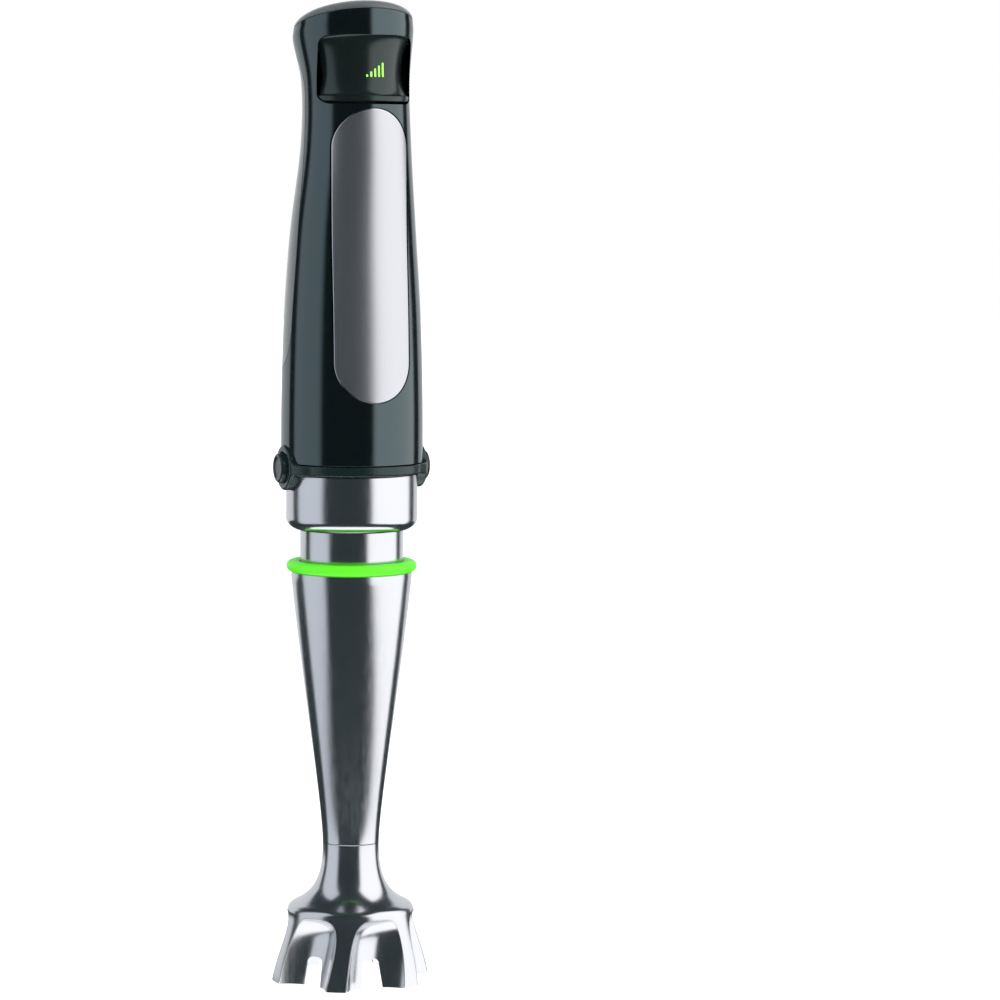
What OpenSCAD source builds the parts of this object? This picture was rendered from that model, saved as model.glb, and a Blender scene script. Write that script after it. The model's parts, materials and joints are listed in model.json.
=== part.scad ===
// Immersion blender: a motor handle with a squeeze trigger, a pull-off shaft, and
// a bell that slides up the shaft against a spring, so that the blade dips lower.
// Origin: centre of the circle that the bell's feet stand on. +Z runs up the
// shaft to the head and -Y is the front, with the trigger and the metal plate.
// Millimetres and degrees.

/* [Bell] */
// Radius of the bell at its feet
bell_r = 33.2; // [33:0.1:33.4]
// Height of the seam between bell and shaft tube
bell_h = 57; // [56.5:0.5:57.5]
// Sheet thickness of the bell
bell_wall = 1.1; // [1:0.05:1.2]
// Radius of the neck where the bell meets the tube
neck_r = 11.65; // [11.5:0.05:11.8]
// Number of legs, with a flute between each pair
leg_count = 6; // [5:1:6]
// Radius of curvature of a flute
flute_r = 16; // [15.5:0.5:16]
// Depth of a flute at the feet
flute_depth = 8.7; // [8:0.1:9]
// Height of the arch above each flute
flute_top = 28.3; // [27.5:0.1:28.5]
// How far a leg turns between its foot and the arches, in degrees
leg_swirl = 7.5; // [0:0.5:9]
// Width of the notch at the foot of a flute
notch_w = 9; // [8:0.5:10]
// Height of the notch
notch_h = 12; // [10:0.5:13]

/* [Shaft] */
// Outer radius at the top of the shaft tube
tube_top_r = 24.9; // [24.7:0.1:25.1]
// Height of the top of the shaft tube
tube_top = 168; // [167:0.5:168.5]
// Sheet thickness of the tube, the sleeve and the collar
tube_wall = 1; // [0.9:0.05:1]
// Radius of the sleeve that the tube slides along
sleeve_r = 21.25; // [21:0.05:21.4]
// Radius of the soft ring around the top of the tube
ring_r = 26.9; // [26:0.1:27.5]
// Thickness of the soft ring
ring_h = 4.6; // [4:0.1:4.8]
// Radius of the collar below the handle
collar_r = 27.1; // [26.8:0.1:27.2]
// Travel of the bell and tube towards the handle
stroke = 11; // [8:0.5:11]
// Radius of the drive rod
rod_r = 3; // [2.8:0.1:3]
// Radius swept by the blade
blade_r = 18; // [16:0.5:18.5]

/* [Handle] */
// Height of the top of the collar, where the handle begins
handle_z = 208; // [207.5:0.5:208]
// Thickness of the casing
case_wall = 2.4; // [2.2:0.1:2.5]
// Radius of the base ring
base_r = 29.3; // [29.2:0.1:29.6]
// Height of the tilted rim of the head, on the axis
rim_z = 393.8; // [393:0.1:394.5]
// Fall of the rim from front to back, as a slope
rim_slope = 0.268; // [0.2:0.002:0.28]
// Height of the cap above the rim
dome_h = 6.05; // [5:0.05:6.5]
// Lower end of the metal plate
plate_z0 = 241; // [238:0.5:245]
// Upper end of the metal plate
plate_z1 = 360.1; // [355:0.1:360.2]
// Width of the metal plate
plate_w = 32.6; // [28:0.2:33]

/* [Controls] */
// Lower edge of the squeeze trigger
trigger_z0 = 362.7; // [362.4:0.1:363.4]
// Upper edge of the squeeze trigger
trigger_z1 = 388; // [387.4:0.1:388.2]
// Half the width of the trigger
trigger_hw = 19.8; // [19:0.1:19.9]
// Depth of the finger hollow in the trigger
trigger_hollow = 3.3; // [2.5:0.1:3.4]
// Height of the two release buttons' centre line
release_z = 213.5; // [213:0.1:214]
// Radius of a release button
release_r = 6; // [5.5:0.1:6]
// Radius of the round boss behind a release button
boss_r = 9.2; // [8.5:0.1:9.4]
// Radius of the safety button in the cap
safety_r = 7; // [6:0.1:7]
// Radius of the cable hole in the gland
cable_r = 3.6; // [3.2:0.1:3.8]

/* [Motor] */
// Radius of the motor shaft
shaft_r = 2.5; // [2.4:0.05:2.5]
// Radius of the armature
armature_r = 12; // [11:0.25:12]
// Outer radius of the stator
stator_r = 22.4; // [21:0.2:22.6]
// Lower end of the laminations
core_z0 = 276; // [275.5:0.5:276.5]
// Upper end of the laminations
core_z1 = 306; // [305.5:0.5:306.5]

/* [Hidden] */

$fn = 72;
steel = "#b9bdc2";
black = "#15191b";
soft_grey = "#3a4143";
green = "#64e81e";
copper = "#b8743a";

run_gap = 0.05;          // radial clearance of a running fit
slide_gap = 0.1;         // radial clearance of a sliding guide
part_gap = 0.3;          // seam between neighbouring covers
ring_z = tube_top + 2.2; // underside of the soft ring
case_z = handle_z + 7.5; // lower end of the casing shells
leg_pitch = 360 / leg_count;
rim_tilt = atan(rim_slope);

// The handle's stations: height, radius, and the forward shift of the centre
body_z = [208, 240, 275, 310, 345, 370.5, 389.4, 394.4];
body_rs = [29.2, 29.1, 28.1, 25.8, 22.6, 22.1, 24.6, 24.3];
body_ys = [0, 0, 0, -0.5, -3.8, -3.0, 0, 0];
tilt_z = 362.4;           // below this height the handle's sections are level

// ---------- curves ----------

function bezier(p, t) = pow(1 - t, 3) * p[0] + 3 * t * pow(1 - t, 2) * p[1]
    + 3 * t * t * (1 - t) * p[2] + pow(t, 3) * p[3];
function curve(p, n) = [for (i = [0:n]) bezier(p, i / n)];
function tail(list) = [for (i = [1:len(list) - 1]) list[i]];
function reversed(list) = [for (i = [len(list) - 1:-1:0]) list[i]];

// A line of points moved sideways by d, to the left of its direction
function beside(line, d) = [for (i = [0:len(line) - 1])
    let (a = line[max(i - 1, 0)], b = line[min(i + 1, len(line) - 1)], v = b - a)
    line[i] + d * [-v[1], v[0]] / norm(v)];

// Smooth value at x through the points (t[i], v[i])
function slope(t, v, i) = let (a = max(i - 1, 0), b = min(i + 1, len(t) - 1)) (v[b] - v[a]) / (t[b] - t[a]);
function span_of(t, x, i = 0) = i >= len(t) - 2 || x <= t[i + 1] ? i : span_of(t, x, i + 1);
function smooth(t, v, x) = let (i = span_of(t, x), h = t[i + 1] - t[i], u = (x - t[i]) / h)
    (2 * pow(u, 3) - 3 * u * u + 1) * v[i] + (pow(u, 3) - 2 * u * u + u) * h * slope(t, v, i)
    + (3 * u * u - 2 * pow(u, 3)) * v[i + 1] + (pow(u, 3) - u * u) * h * slope(t, v, i + 1);

// A closed solid through rings of points, each ring counter-clockwise from above
module loft(rings) {
    n = len(rings[0]);
    m = len(rings);
    sides = [for (j = [0:m - 2], i = [0:n - 1])
        let (a = j * n + i, b = j * n + (i + 1) % n) [a, a + n, b + n, b]];
    lower = [for (i = [0:n - 1]) i];
    upper = [for (i = [n - 1:-1:0]) (m - 1) * n + i];
    polyhedron(points = [for (r = rings) each r], faces = concat([lower, upper], sides));
}

// Joins lofted surfaces into one closed mesh at their own size
module as_mesh() {
    resize([0, 0, 0]) children();
}

// A wire of radius r along a list of points
module wire(path, r, sides = 8) {
    last = len(path) - 1;
    rings = [for (i = [0:last])
        let (d = path[min(i + 1, last)] - path[max(i - 1, 0)], t = d / norm(d),
            side = abs(t[2]) < 0.9 ? cross(t, [0, 0, 1]) : cross(t, [1, 0, 0]), u = side / norm(side),
            w = cross(u, t))
        [for (k = [0:sides - 1]) path[i] + r * (cos(360 * k / sides) * u + sin(360 * k / sides) * w)]];
    as_mesh() loft(rings);
}

// A coil spring standing on the XY plane, its wire inside the height
module coil(r, wire_r, height, turns, steps = 14) {
    wire([for (i = [0:turns * steps]) let (a = 360 * i / steps)
        [r * cos(a), r * sin(a), wire_r + (height - 2 * wire_r) * i / (turns * steps)]], wire_r, 5);
}

// A ring or tube: outer radius, inner radius, lower and upper ends
module tube(outer, inner, z0, z1) {
    translate([0, 0, z0]) difference() {
        cylinder(r = outer, h = z1 - z0);
        translate([0, 0, -1]) cylinder(r = inner, h = z1 - z0 + 2);
    }
}

// A bar along X between x0 and x1
module bar_x(r, x0, x1, y = 0, z = 0) {
    translate([x0, y, z]) rotate([0, 90, 0]) cylinder(r = r, h = x1 - x0);
}

// A bar along Y between y0 and y1
module bar_y(r, x, y0, y1, z, sides = $fn) {
    translate([x, y0, z]) rotate([-90, 0, 0]) cylinder(r = r, h = y1 - y0, $fn = sides);
}

// A box given by its lowest and highest corners
module box(a, b) {
    translate(a) cube(b - a);
}

// ---------- bell and shaft tube: the sprung foot ----------

shoulder_r = 26.2;
shoulder_z = 28.5;
flare = [[neck_r, bell_h], [neck_r, 43.5], [14.5, 36.5], [23.5, 32.2]];
shoulder = [[23.5, 32.2], [25.3, 31.3], [shoulder_r, 30.3], [shoulder_r, shoulder_z]];
skirt = [[shoulder_r, shoulder_z], [26.4, 22], [31, 14], [bell_r, 0]];

function bell_line(n) = concat(curve(flare, n), tail(curve(shoulder, 3)), tail(curve(skirt, n)));
skirt_table = reversed([for (p = curve(skirt, 24)) [p[1], p[0]]]);
function skirt_r(z) = lookup(z, skirt_table);

// Wall line of the shaft tube, from the neck to the soft ring
tube_curve = [[neck_r, bell_h], [neck_r, 72], [20.2, 123], [tube_top_r, tube_top]];

module bell_solid(inset) {
    line = beside(bell_line(5), -inset);
    drop = inset > 0 ? 1 : 0;
    rotate_extrude($fn = 54) polygon(concat([[0, bell_h + drop], [line[0][0], bell_h + drop]], line,
        [[line[len(line) - 1][0], -drop], [0, -drop]]));
}

// The rounded tool that hollows one flute, grown outwards by grow
module flute(angle, grow) {
    steps = 7;
    tall = 1 + grow / flute_top;
    rings = [for (i = [-1:steps])
        let (z = flute_top * sin(90 * max(i, 0) / steps),
            depth = flute_depth * sqrt(max(0, 1 - pow(z / flute_top, 2))),
            c = skirt_r(z) - depth + flute_r, turn = angle + leg_swirl * z / flute_top)
        [for (k = [0:25]) let (a = 360 * k / 26,
            x = (flute_r + grow) * cos(a), y = c + (flute_r + grow) * sin(a))
            [x * cos(turn) - y * sin(turn), x * sin(turn) + y * cos(turn), i < 0 ? -2 : z * tall]]];
    loft(rings);
}

module flutes(grow) {
    for (k = [0:leg_count - 1]) flute(leg_pitch * k, grow);
}

module notches() {
    corner = 2.5;
    for (k = [0:leg_count - 1]) rotate(leg_pitch * k + leg_swirl * notch_h / flute_top / 2) hull() {
        translate([-notch_w / 2, 10, -2]) cube([notch_w, 25, 1]);
        for (s = [-1, 1]) translate([s * (notch_w / 2 - corner - 0.8), 10, notch_h - corner])
            rotate([-90, 0, 0]) cylinder(r = corner, h = 25, $fn = 20);
    }
}

module bell() {
    color(steel) as_mesh() difference() {
        bell_solid(0);
        flutes(0);
        difference() {
            bell_solid(bell_wall);
            flutes(bell_wall);
        }
        notches();
    }
}

module lower_bush_housing() {
    bore = 5;
    color(black) rotate_extrude() polygon([[bore, 33], [7.5, 33], [9.4, 36.2], [9.4, 48], [bore, 48]]);
}

module lower_bush() {
    color(copper) tube(5, rod_r + run_gap, 36.5, 48);
}

module shaft_seal() {
    color("#2c2c2c") tube(5, rod_r + run_gap, 33.5, 36.5);
}

module shaft_tube() {
    spigot = neck_r - bell_wall - 0.1;
    outer = concat(curve(tube_curve, 14), [[tube_top_r, ring_z]]);
    inner = beside(outer, tube_wall);
    color(steel) rotate_extrude() polygon(concat([[spigot - 1, bell_h - 6], [spigot, bell_h - 6],
        [spigot, bell_h]], outer, reversed(inner), [[spigot - 1, bell_h + 2]]));
}

module soft_ring() {
    inner = sleeve_r + part_gap;
    half = ring_h / 2;
    edge = ring_r - half;
    lip_r = tube_top_r - tube_wall - 0.45;
    color(green) translate([0, 0, ring_z]) rotate_extrude() polygon(concat(
        [[inner, -4], [lip_r, -4], [lip_r, 0]],
        [for (a = [-90:15:90]) [edge + half * cos(a), half + half * sin(a)]], [[inner, ring_h]]));
}

module guide_carrier() {
    color(black) rotate_extrude() polygon([[guide_r + slide_gap, 130], [19.2, 130], [20.05, 137],
        [guide_r + slide_gap, 137]]);
}

// ---------- collar, sleeve and guide: the pull-off attachment ----------

guide_r = 11;
plug_r = 20.3;
plug_top = handle_z + 32;
spring_seat = 186;
collar_top = handle_z + 2.8;

module sleeve() {
    color(steel) tube(sleeve_r, sleeve_r - tube_wall, 162, 200);
}

module collar_shell() {
    bottom = ring_z + ring_h + stroke + 1.7;
    outer = concat([[sleeve_r + slide_gap, bottom]],
        curve([[22.4, bottom], [25.4, bottom + 1], [collar_r, bottom + 2.6], [collar_r, bottom + 5.2]], 6));
    inner = beside(outer, tube_wall);
    color(steel) rotate_extrude() polygon(concat(outer, [[collar_r, collar_top - 0.6],
        [collar_r - 0.5, collar_top], [collar_r - tube_wall, collar_top]], reversed(inner)));
}

module collar_core() {
    inner = 12;
    core_r = sleeve_r - tube_wall - 0.05;
    flange_r = collar_r - tube_wall - 0.1;
    groove = 1;
    color(black) rotate_extrude() polygon([[guide_r, spring_seat], [core_r, spring_seat], [core_r, 200.1],
        [flange_r, 200.1], [flange_r, handle_z], [plug_r, handle_z], [plug_r, release_z - groove],
        [plug_r - groove, release_z - groove], [plug_r - groove, release_z + groove],
        [plug_r, release_z + groove], [plug_r, plug_top - 1.5], [plug_r - 1.5, plug_top],
        [inner, plug_top], [inner, 201], [guide_r, 201]]);
}

module guide_tube() {
    color(steel) tube(guide_r, 8, 120, 201);
}

module upper_bush() {
    color(copper) tube(8, rod_r + run_gap, 186, 198);
}

module stop_clip() {
    color(steel) difference() {
        tube(12.8, guide_r, 128.3, 129.9);
        box([-1.5, -15, 128], [1.5, 0, 131]);
    }
}

module stroke_spring() {
    color(steel) translate([0, 0, 137.1]) coil(14.5, 0.9, spring_seat - 137.2, 7);
}

// ---------- drive rod and blade ----------

blade_z = 17;
rod_top = handle_z + 28;
hex_r = 4.4;

module drive_rod() {
    color(steel) translate([0, 0, 15]) cylinder(r = rod_r, h = rod_top - 15);
}

module blade_hub() {
    color(steel) rotate_extrude() polygon([[rod_r, 15.2], [4.6, 15.2], [6, 16.6], [6, blade_z - 0.05],
        [4.2, blade_z - 0.05], [4.2, blade_z + 1.45], [6.5, blade_z + 1.45], [5, 27], [rod_r, 27]]);
}

// Two wings bent in opposite directions, on one eye
module blade() {
    thick = 1.4;
    color(steel) {
        difference() {
            union() {
                translate([0, 0, blade_z]) cylinder(r = 7.5, h = thick);
                for (s = [0, 180]) rotate(s) {
                    translate([0, 0, blade_z]) linear_extrude(thick) polygon([[0, -4.5], [12, -4], [12, 3.4],
                        [0, 4.5]]);
                    translate([11.6, 0, blade_z]) rotate([0, s == 0 ? -24 : 12, 0]) linear_extrude(thick)
                        polygon([[0, -4], [blade_r - 13.4, -2.6], [blade_r - 12.2, 1], [0, 3.4]]);
                }
            }
            translate([0, 0, blade_z - 1]) cylinder(r = 4.2, h = thick + 2);
        }
    }
}

module drive_coupling() {
    color(black) translate([0, 0, rod_top - 8]) difference() {
        cylinder(r = hex_r, h = 15, $fn = 6);
        translate([0, 0, -1]) cylinder(r = rod_r, h = 9);
    }
}

// ---------- casing ----------

function body_r(z) = smooth(body_z, body_rs, z);
function body_y(z) = smooth(body_z, body_ys, z);
function body_tilt(z) = rim_slope * pow(max(0, (z - tilt_z) / (rim_z - tilt_z)), 1.5);

// One section of the casing, inset from its surface
function body_ring(z, inset, n) = let (r = body_r(z) - inset, c = body_y(z), k = body_tilt(z))
    [for (i = [0:n - 1]) let (a = 360 * (i + 0.5) / n, y = c + r * sin(a)) [r * cos(a), y, z - k * y]];

// The casing as a solid from height z0 to the rim, or past it by extra
module body(inset, z0, extra = 0, n = 48, levels = 22) {
    last = [for (p = body_ring(rim_z, inset, n)) p + [0, 0, extra]];
    loft(concat([for (i = [0:levels - 1]) body_ring(z0 + (rim_z - z0) * i / levels, inset, n)], [last]));
}

// The outline of the metal plate from the front, grown by grow
module plate_outline(grow) {
    half = plate_w / 2;
    rotate([90, 0, 0]) linear_extrude(60) hull() {
        translate([0, plate_z0 + half]) circle(r = half + grow, $fn = 64);
        translate([0, plate_z1 - half]) circle(r = half + grow, $fn = 64);
    }
}

// The outline of the rear grip from the side, grown by grow
module grip_outline(grow) {
    upper = [[30, 385], [10, 385], [-0.5, 382.5], [-4.2, 366.5]];
    edge = [[-4.2, 366.5], [-5.5, 335], [-5.8, 300], [-4.8, 270]];
    lower = [[-4.8, 270], [-3.4, 256], [3, 251.5], [30, 250]];
    side = concat(curve(upper, 8), tail(curve(edge, 4)), tail(curve(lower, 8)));
    translate([-40, 0, 0]) rotate([90, 0, 90]) linear_extrude(80) offset(delta = grow)
        polygon(concat(side, [[40, 250], [40, 385]]));
}

module trigger_window() {
    half = trigger_hw + 0.2;
    box([-half, -40, trigger_z0 - 1], [half, -6, trigger_z1 + 1.6]);
    box([-half, -7, trigger_z0 - 1], [half, 0, trigger_z1 + 1.6]);
}

// Cuts both shells for the release bosses
module boss_clearance() {
    for (s = [0, 180]) rotate(s) bar_x(boss_r + 0.2, 26, 40, 0, release_z);
}

split_y = 2.6;
screw_r = 1.3;
screw_places = [[23.3, 256], [14.3, 352]];

// Bars along Y through every case screw: the bosses, the holes or the screws
module at_screws(r, y0, y1, sides = $fn) {
    for (p = screw_places, s = [-1, 1]) bar_y(r, s * p[0], y0, y1, p[1], sides);
}

// The hollow casing with its screw bosses, before it is split
module case_body() {
    difference() {
        body(0, case_z);
        difference() {
            body(case_wall, case_z - 1, 2, 36, 16);
            at_screws(2.3, -30, 30, 18);
        }
        at_screws(screw_r + 0.1, -7, 20, 18);
        grip_recess();
        boss_clearance();
    }
}

module front_shell() {
    color(black) as_mesh() difference() {
        case_body();
        box([-40, split_y, 200], [40, 60, 420]);
        intersection() {
            difference() {
                body(-1, case_z - 1, 2);
                body(1.1, case_z - 2, 4);
            }
            plate_outline(0.3);
        }
        trigger_window();
    }
}

module grip_recess() {
    intersection() {
        difference() {
            body(-1, case_z - 1, 2);
            body(1.35, case_z - 2, 4);
        }
        grip_outline(0.13);
    }
}

module rear_shell() {
    color(black) as_mesh() difference() {
        case_body();
        box([-40, -60, 200], [40, split_y + 0.1, 420]);
        at_screws(2.5, 8, 30, 18);
    }
}

module rear_grip() {
    color(soft_grey) as_mesh() intersection() {
        difference() {
            body(0, case_z);
            body(1.25, case_z - 2, 4);
        }
        grip_outline(-0.02);
    }
}

module front_plate() {
    color(steel) as_mesh() intersection() {
        difference() {
            body(0, case_z);
            body(1, case_z - 2, 4);
        }
        plate_outline(-0.01);
    }
}

// Points of the cap's sections: k runs from the rim (0) to the crown (1)
function cap_ring(k, n) = let (r = body_r(rim_z) - 0.05, h = dome_h * k,
    rho = r * (k < 1 ? pow(1 - pow(k, 2), 1 / 3) : 0.02))
    [for (i = [0:n - 1]) let (a = 360 * (i + 0.5) / n, y = rho * sin(a))
        [rho * cos(a), y, rim_z + 0.2 - rim_slope * y + h]];

// Places children on the cap, tilted with the rim, at a distance back from the axis
module on_cap(back) {
    translate([0, back, rim_z - rim_slope * back]) rotate([-rim_tilt, 0, 0]) children();
}

module top_cap() {
    n = 48;
    plug = body_r(rim_z) - case_wall - 0.3;
    color(black) as_mesh() difference() {
        union() {
            loft([for (i = [0:7]) cap_ring(sin(90 * i / 7), n)]);
            on_cap(0) translate([0, 0, -4]) cylinder(r = plug, h = 5);
        }
        on_cap(0) translate([0, 0, -5]) cylinder(r = plug - 2, h = 7);
        on_cap(0) translate([0, 0, 1]) cylinder(r1 = plug - 2, r2 = plug - 8, h = 2.6);
        on_cap(safety_back) cylinder(r = safety_r + 0.2, h = 20, $fn = 48);
        on_cap(gland_back) translate([0, 0, -6]) cylinder(r = gland_r + 0.08, h = 26, $fn = 48);
    }
}

// The ring between handle and collar, with a round boss at each side
module base_ring() {
    inner = 22.7;
    step_r = collar_r - tube_wall - part_gap;
    color(black) difference() {
        union() {
            rotate_extrude() polygon([[inner, handle_z + part_gap], [step_r, handle_z + part_gap],
                [step_r, collar_top + part_gap], [base_r - 0.8, collar_top + part_gap],
                [base_r, collar_top + 1.1], [base_r, case_z - 1], [base_r - 0.6, case_z - part_gap],
                [inner, case_z - part_gap]]);
            for (s = [0, 180]) rotate(s) bar_x(boss_r, 27.6, 30.1, 0, release_z);
        }
        for (s = [0, 180]) rotate(s) bar_x(release_r + 0.2, 20, 40, 0, release_z);
    }
}

// ---------- inside the handle ----------

socket_r = plug_r + part_gap;
deck_z = plug_top + 3.4;

module socket() {
    outer = socket_r + 1.8;
    color("#2a2e30") difference() {
        rotate_extrude() polygon([[socket_r, handle_z + 0.6], [outer, handle_z + 0.6], [outer, deck_z],
            [26.2, deck_z], [26.2, deck_z + 2.6], [9.2, deck_z + 2.6], [9.2, deck_z], [socket_r, deck_z]]);
        for (s = [0, 180]) rotate(s) bar_x(3, 18, 30, 0, release_z);
        tube(socket_r + 1.2, socket_r - 1, release_z - 0.9, release_z + 0.9);
    }
}

module socket_seal() {
    color("#2c2c2c") tube(socket_r - 0.1, 15.5, plug_top + 0.4, deck_z);
}

// A spring wire that dips into the plug's groove at front and back
module retaining_wire() {
    path = [for (a = [100:10:440]) let (r = 20.55 + 0.55 * cos(2 * a)) [r * cos(a), r * sin(a), release_z]];
    color(steel) wire(path, 0.5, 5);
}

module release_springs() {
    color(steel) for (s = [0, 180]) rotate(s) translate([socket_r + 1.95, 0, release_z]) rotate([0, 90, 0])
        coil(2.05, 0.3, 6.9, 4, 10);
}

module case_screws() {
    color(steel) {
        at_screws(screw_r, -6.5, 8);
        at_screws(2.3, 8, 9.2);
    }
}

gland_back = 14;
gland_r = 6;
gland_out = 6.4;

module cord_gland() {
    color("#202426") on_cap(gland_back) difference() {
        union() {
            translate([0, 0, -4]) cylinder(r = gland_r, h = gland_out + 2.5);
            translate([0, 0, gland_out - 2]) cylinder(r1 = gland_r, r2 = gland_r - 1.2, h = 2);
        }
        translate([0, 0, -5]) cylinder(r = cable_r, h = 20);
    }
}

// ---------- motor: fixed parts ----------

bearing_r = 8;
bolt_y = 15.5;

module bolt_holes() {
    for (s = [-1, 1]) translate([0, s * bolt_y, 250]) cylinder(r = 1.5, h = 100);
}

module lower_bracket() {
    color("#8d9296") difference() {
        union() {
            tube(24.4, bearing_r, 264, 267);
            tube(bearing_r + 2, bearing_r, 261.5, 267);
            tube(24.4, 22.6, 264, core_z0);
        }
        for (a = [45:90:315]) rotate(a) translate([16.5, 0, 260]) cylinder(r = 4.5, h = 10);
        bolt_holes();
    }
}

module upper_bracket() {
    color("#8d9296") difference() {
        union() {
            tube(17.6, bearing_r, 333, 336);
            tube(bearing_r + 2, bearing_r, 330.5, 336);
        }
        bolt_holes();
    }
}

module lower_bearing() {
    color(steel) tube(bearing_r, shaft_r, 262, 267);
}

module upper_bearing() {
    color(steel) tube(bearing_r, shaft_r, 331, 336);
}

module motor_mount() {
    color("#2c2c2c") tube(25.7, 24.4, 264, 268);
}

module motor_bolts() {
    color(steel) for (s = [-1, 1]) translate([0, s * bolt_y, 0]) {
        translate([0, 0, 262]) cylinder(r = 1.5, h = 77);
        translate([0, 0, 336]) cylinder(r = 2.1, h = 2);
    }
}

module stator() {
    slot = 40;
    color("#7b7f83") difference() {
        tube(stator_r, armature_r + 0.6, core_z0, core_z1);
        for (s = [90, 270]) rotate(s - slot) translate([0, 0, core_z0 - 1])
            rotate_extrude(angle = 2 * slot) translate([armature_r - 1, 0]) square([19 - armature_r, 40]);
    }
}

// Two coils: each runs up one slot edge, over the pole and down the other
module field_coils() {
    half = 60;
    side = 9;
    turn_z = 5.5;
    inner = armature_r + 1.2;
    thick = 4.5;
    color(copper) for (s = [0, 180]) rotate(s) difference() {
        rotate(-half) translate([0, 0, core_z0 - turn_z]) rotate_extrude(angle = 2 * half)
            translate([inner, 0]) square([thick, core_z1 - core_z0 + 2 * turn_z]);
        rotate(side - half) translate([0, 0, core_z0]) rotate_extrude(angle = 2 * (half - side))
            translate([inner - 1, 0]) square([thick + 2, core_z1 - core_z0]);
    }
}

module brush_holders() {
    color("#b8a24a") for (s = [0, 180]) rotate(s) difference() {
        box([8.6, -4, 317.5], [18, 4, 326]);
        box([8, -2.6, 318.9], [17, 2.6, 324.6]);
    }
}

module brushes() {
    color("#3b3b3b") for (s = [0, 180]) rotate(s) difference() {
        box([7, -2.5, 319], [15, 2.5, 324.5]);
        translate([0, 0, 310]) cylinder(r = 7.55, h = 30);
    }
}

// ---------- electronics and control frame ----------

board_y = 5;
pin_y = -16;
pin_z = 386.4;

module circuit_board() {
    color("#2f6b3a") box([-11, board_y, 343], [11, board_y + 1.6, 381]);
}

module capacitor() {
    color("#394a6b") translate([0, board_y - 4.6, 346]) cylinder(r = 4.6, h = 16);
}

module speed_sensor() {
    color("#2a2e30") box([-6, -11, 364.4], [6, board_y, 372.4]);
}

module safety_switch() {
    color("#2a2e30") box([-5, board_y - 9, 376], [5, board_y, 382]);
}

// A back plate for the board, with two cheeks that carry the trigger's pin
module control_frame() {
    color("#2a2e30") difference() {
        union() {
            for (s = [-1, 1]) box([s * 9.05 - 0.55, pin_y - 1.6, pin_z - 2.5],
                [s * 9.05 + 0.55, board_y - 1, pin_z + 2]);
            box([-10.6, board_y - 1, pin_z - 3.5], [10.6, board_y + 1.6, pin_z - 0.4]);
            box([-12, board_y + 1.6, 345], [12, board_y + 3, pin_z - 0.4]);
        }
        bar_x(1.2, -20, 20, pin_y, pin_z);
    }
}

module trigger_pin() {
    color(steel) bar_x(1.2, -10, 10, pin_y, pin_z);
}

// Torsion spring around the pin, with a leg on the cross plate
module trigger_spring() {
    color(steel) for (x = [-2.2:1.1:2.2]) translate([x, pin_y, pin_z]) rotate([0, 90, 0]) rotate_extrude()
        translate([1.9, 0]) circle(r = 0.5, $fn = 16);
}

safety_back = -3;

module safety_spring() {
    color(steel) on_cap(safety_back) translate([0, 0, -7.5]) coil(3.4, 0.4, 5.4, 3, 10);
}

// ---------- motor: turning parts ----------

module motor_shaft() {
    color(steel) translate([0, 0, 244.5]) cylinder(r = shaft_r, h = 94);
}

module armature() {
    slots = 12;
    color("#6f7377") translate([0, 0, core_z0]) difference() {
        cylinder(r = armature_r, h = core_z1 - core_z0);
        translate([0, 0, -1]) cylinder(r = shaft_r, h = 50);
        for (i = [0:slots - 1]) rotate(360 * i / slots) translate([armature_r - 4, -0.9, -1])
            cube([6, 1.8, 50]);
    }
}

module windings() {
    inner = shaft_r + 1;
    color(copper) rotate_extrude() {
        polygon([[inner, core_z0], [inner, core_z0 - 5], [8, core_z0 - 5.5], [10.6, core_z0 - 2],
            [10.6, core_z0]]);
        polygon([[inner, core_z1], [10.6, core_z1], [10.6, core_z1 + 2], [8, core_z1 + 6],
            [inner, core_z1 + 5]]);
    }
}

module commutator() {
    bars = 24;
    color(copper) difference() {
        tube(7.5, shaft_r, 315, 328);
        for (i = [0:bars - 1]) rotate(360 * i / bars) box([6.8, -0.15, 314], [9, 0.15, 326]);
    }
}

module fan() {
    vanes = 11;
    color("#d8d8d2") difference() {
        union() {
            translate([0, 0, 252]) cylinder(r = 6, h = 8);
            translate([0, 0, 258.4]) cylinder(r = 20, h = 1.4);
            for (i = [0:vanes - 1]) rotate(360 * i / vanes) box([5, -0.6, 252.6], [19.6, 0.6, 259]);
        }
        translate([0, 0, 240]) cylinder(r = shaft_r, h = 40);
    }
}

module motor_coupling() {
    clearance = 0.3;
    color(black) difference() {
        translate([0, 0, rod_top - 1.6]) cylinder(r = 8, h = 15);
        translate([0, 0, rod_top - 3]) cylinder(r = hex_r + clearance, h = 11, $fn = 6);
        translate([0, 0, rod_top]) cylinder(r = shaft_r, h = 30);
    }
}

// ---------- trigger and buttons ----------

lever_front = -18.4;

// The finger hollow: a big round bead laid around the front of the head
module finger_hollow() {
    mid = (trigger_z0 + trigger_z1) / 2;
    half = (trigger_z1 - trigger_z0) / 2 - 2.2;
    n = 48;
    steps = 8;
    rings = [for (i = [-1:steps + 1]) let (s = -1 + 2 * i / steps, z = mid + half * s,
        deep = trigger_hollow * sqrt(max(0, 1 - s * s)) + 0.25)
        [for (k = [0:n - 1]) let (a = 360 * (k + 0.5) / n, r = body_r(z) - deep)
            [r * cos(a), body_y(z) + r * sin(a), z - body_tilt(z) * (body_y(z) + r * sin(a))]]];
    difference() {
        box([-40, -60, mid - half], [40, 0, mid + half]);
        loft(rings);
    }
}

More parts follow.
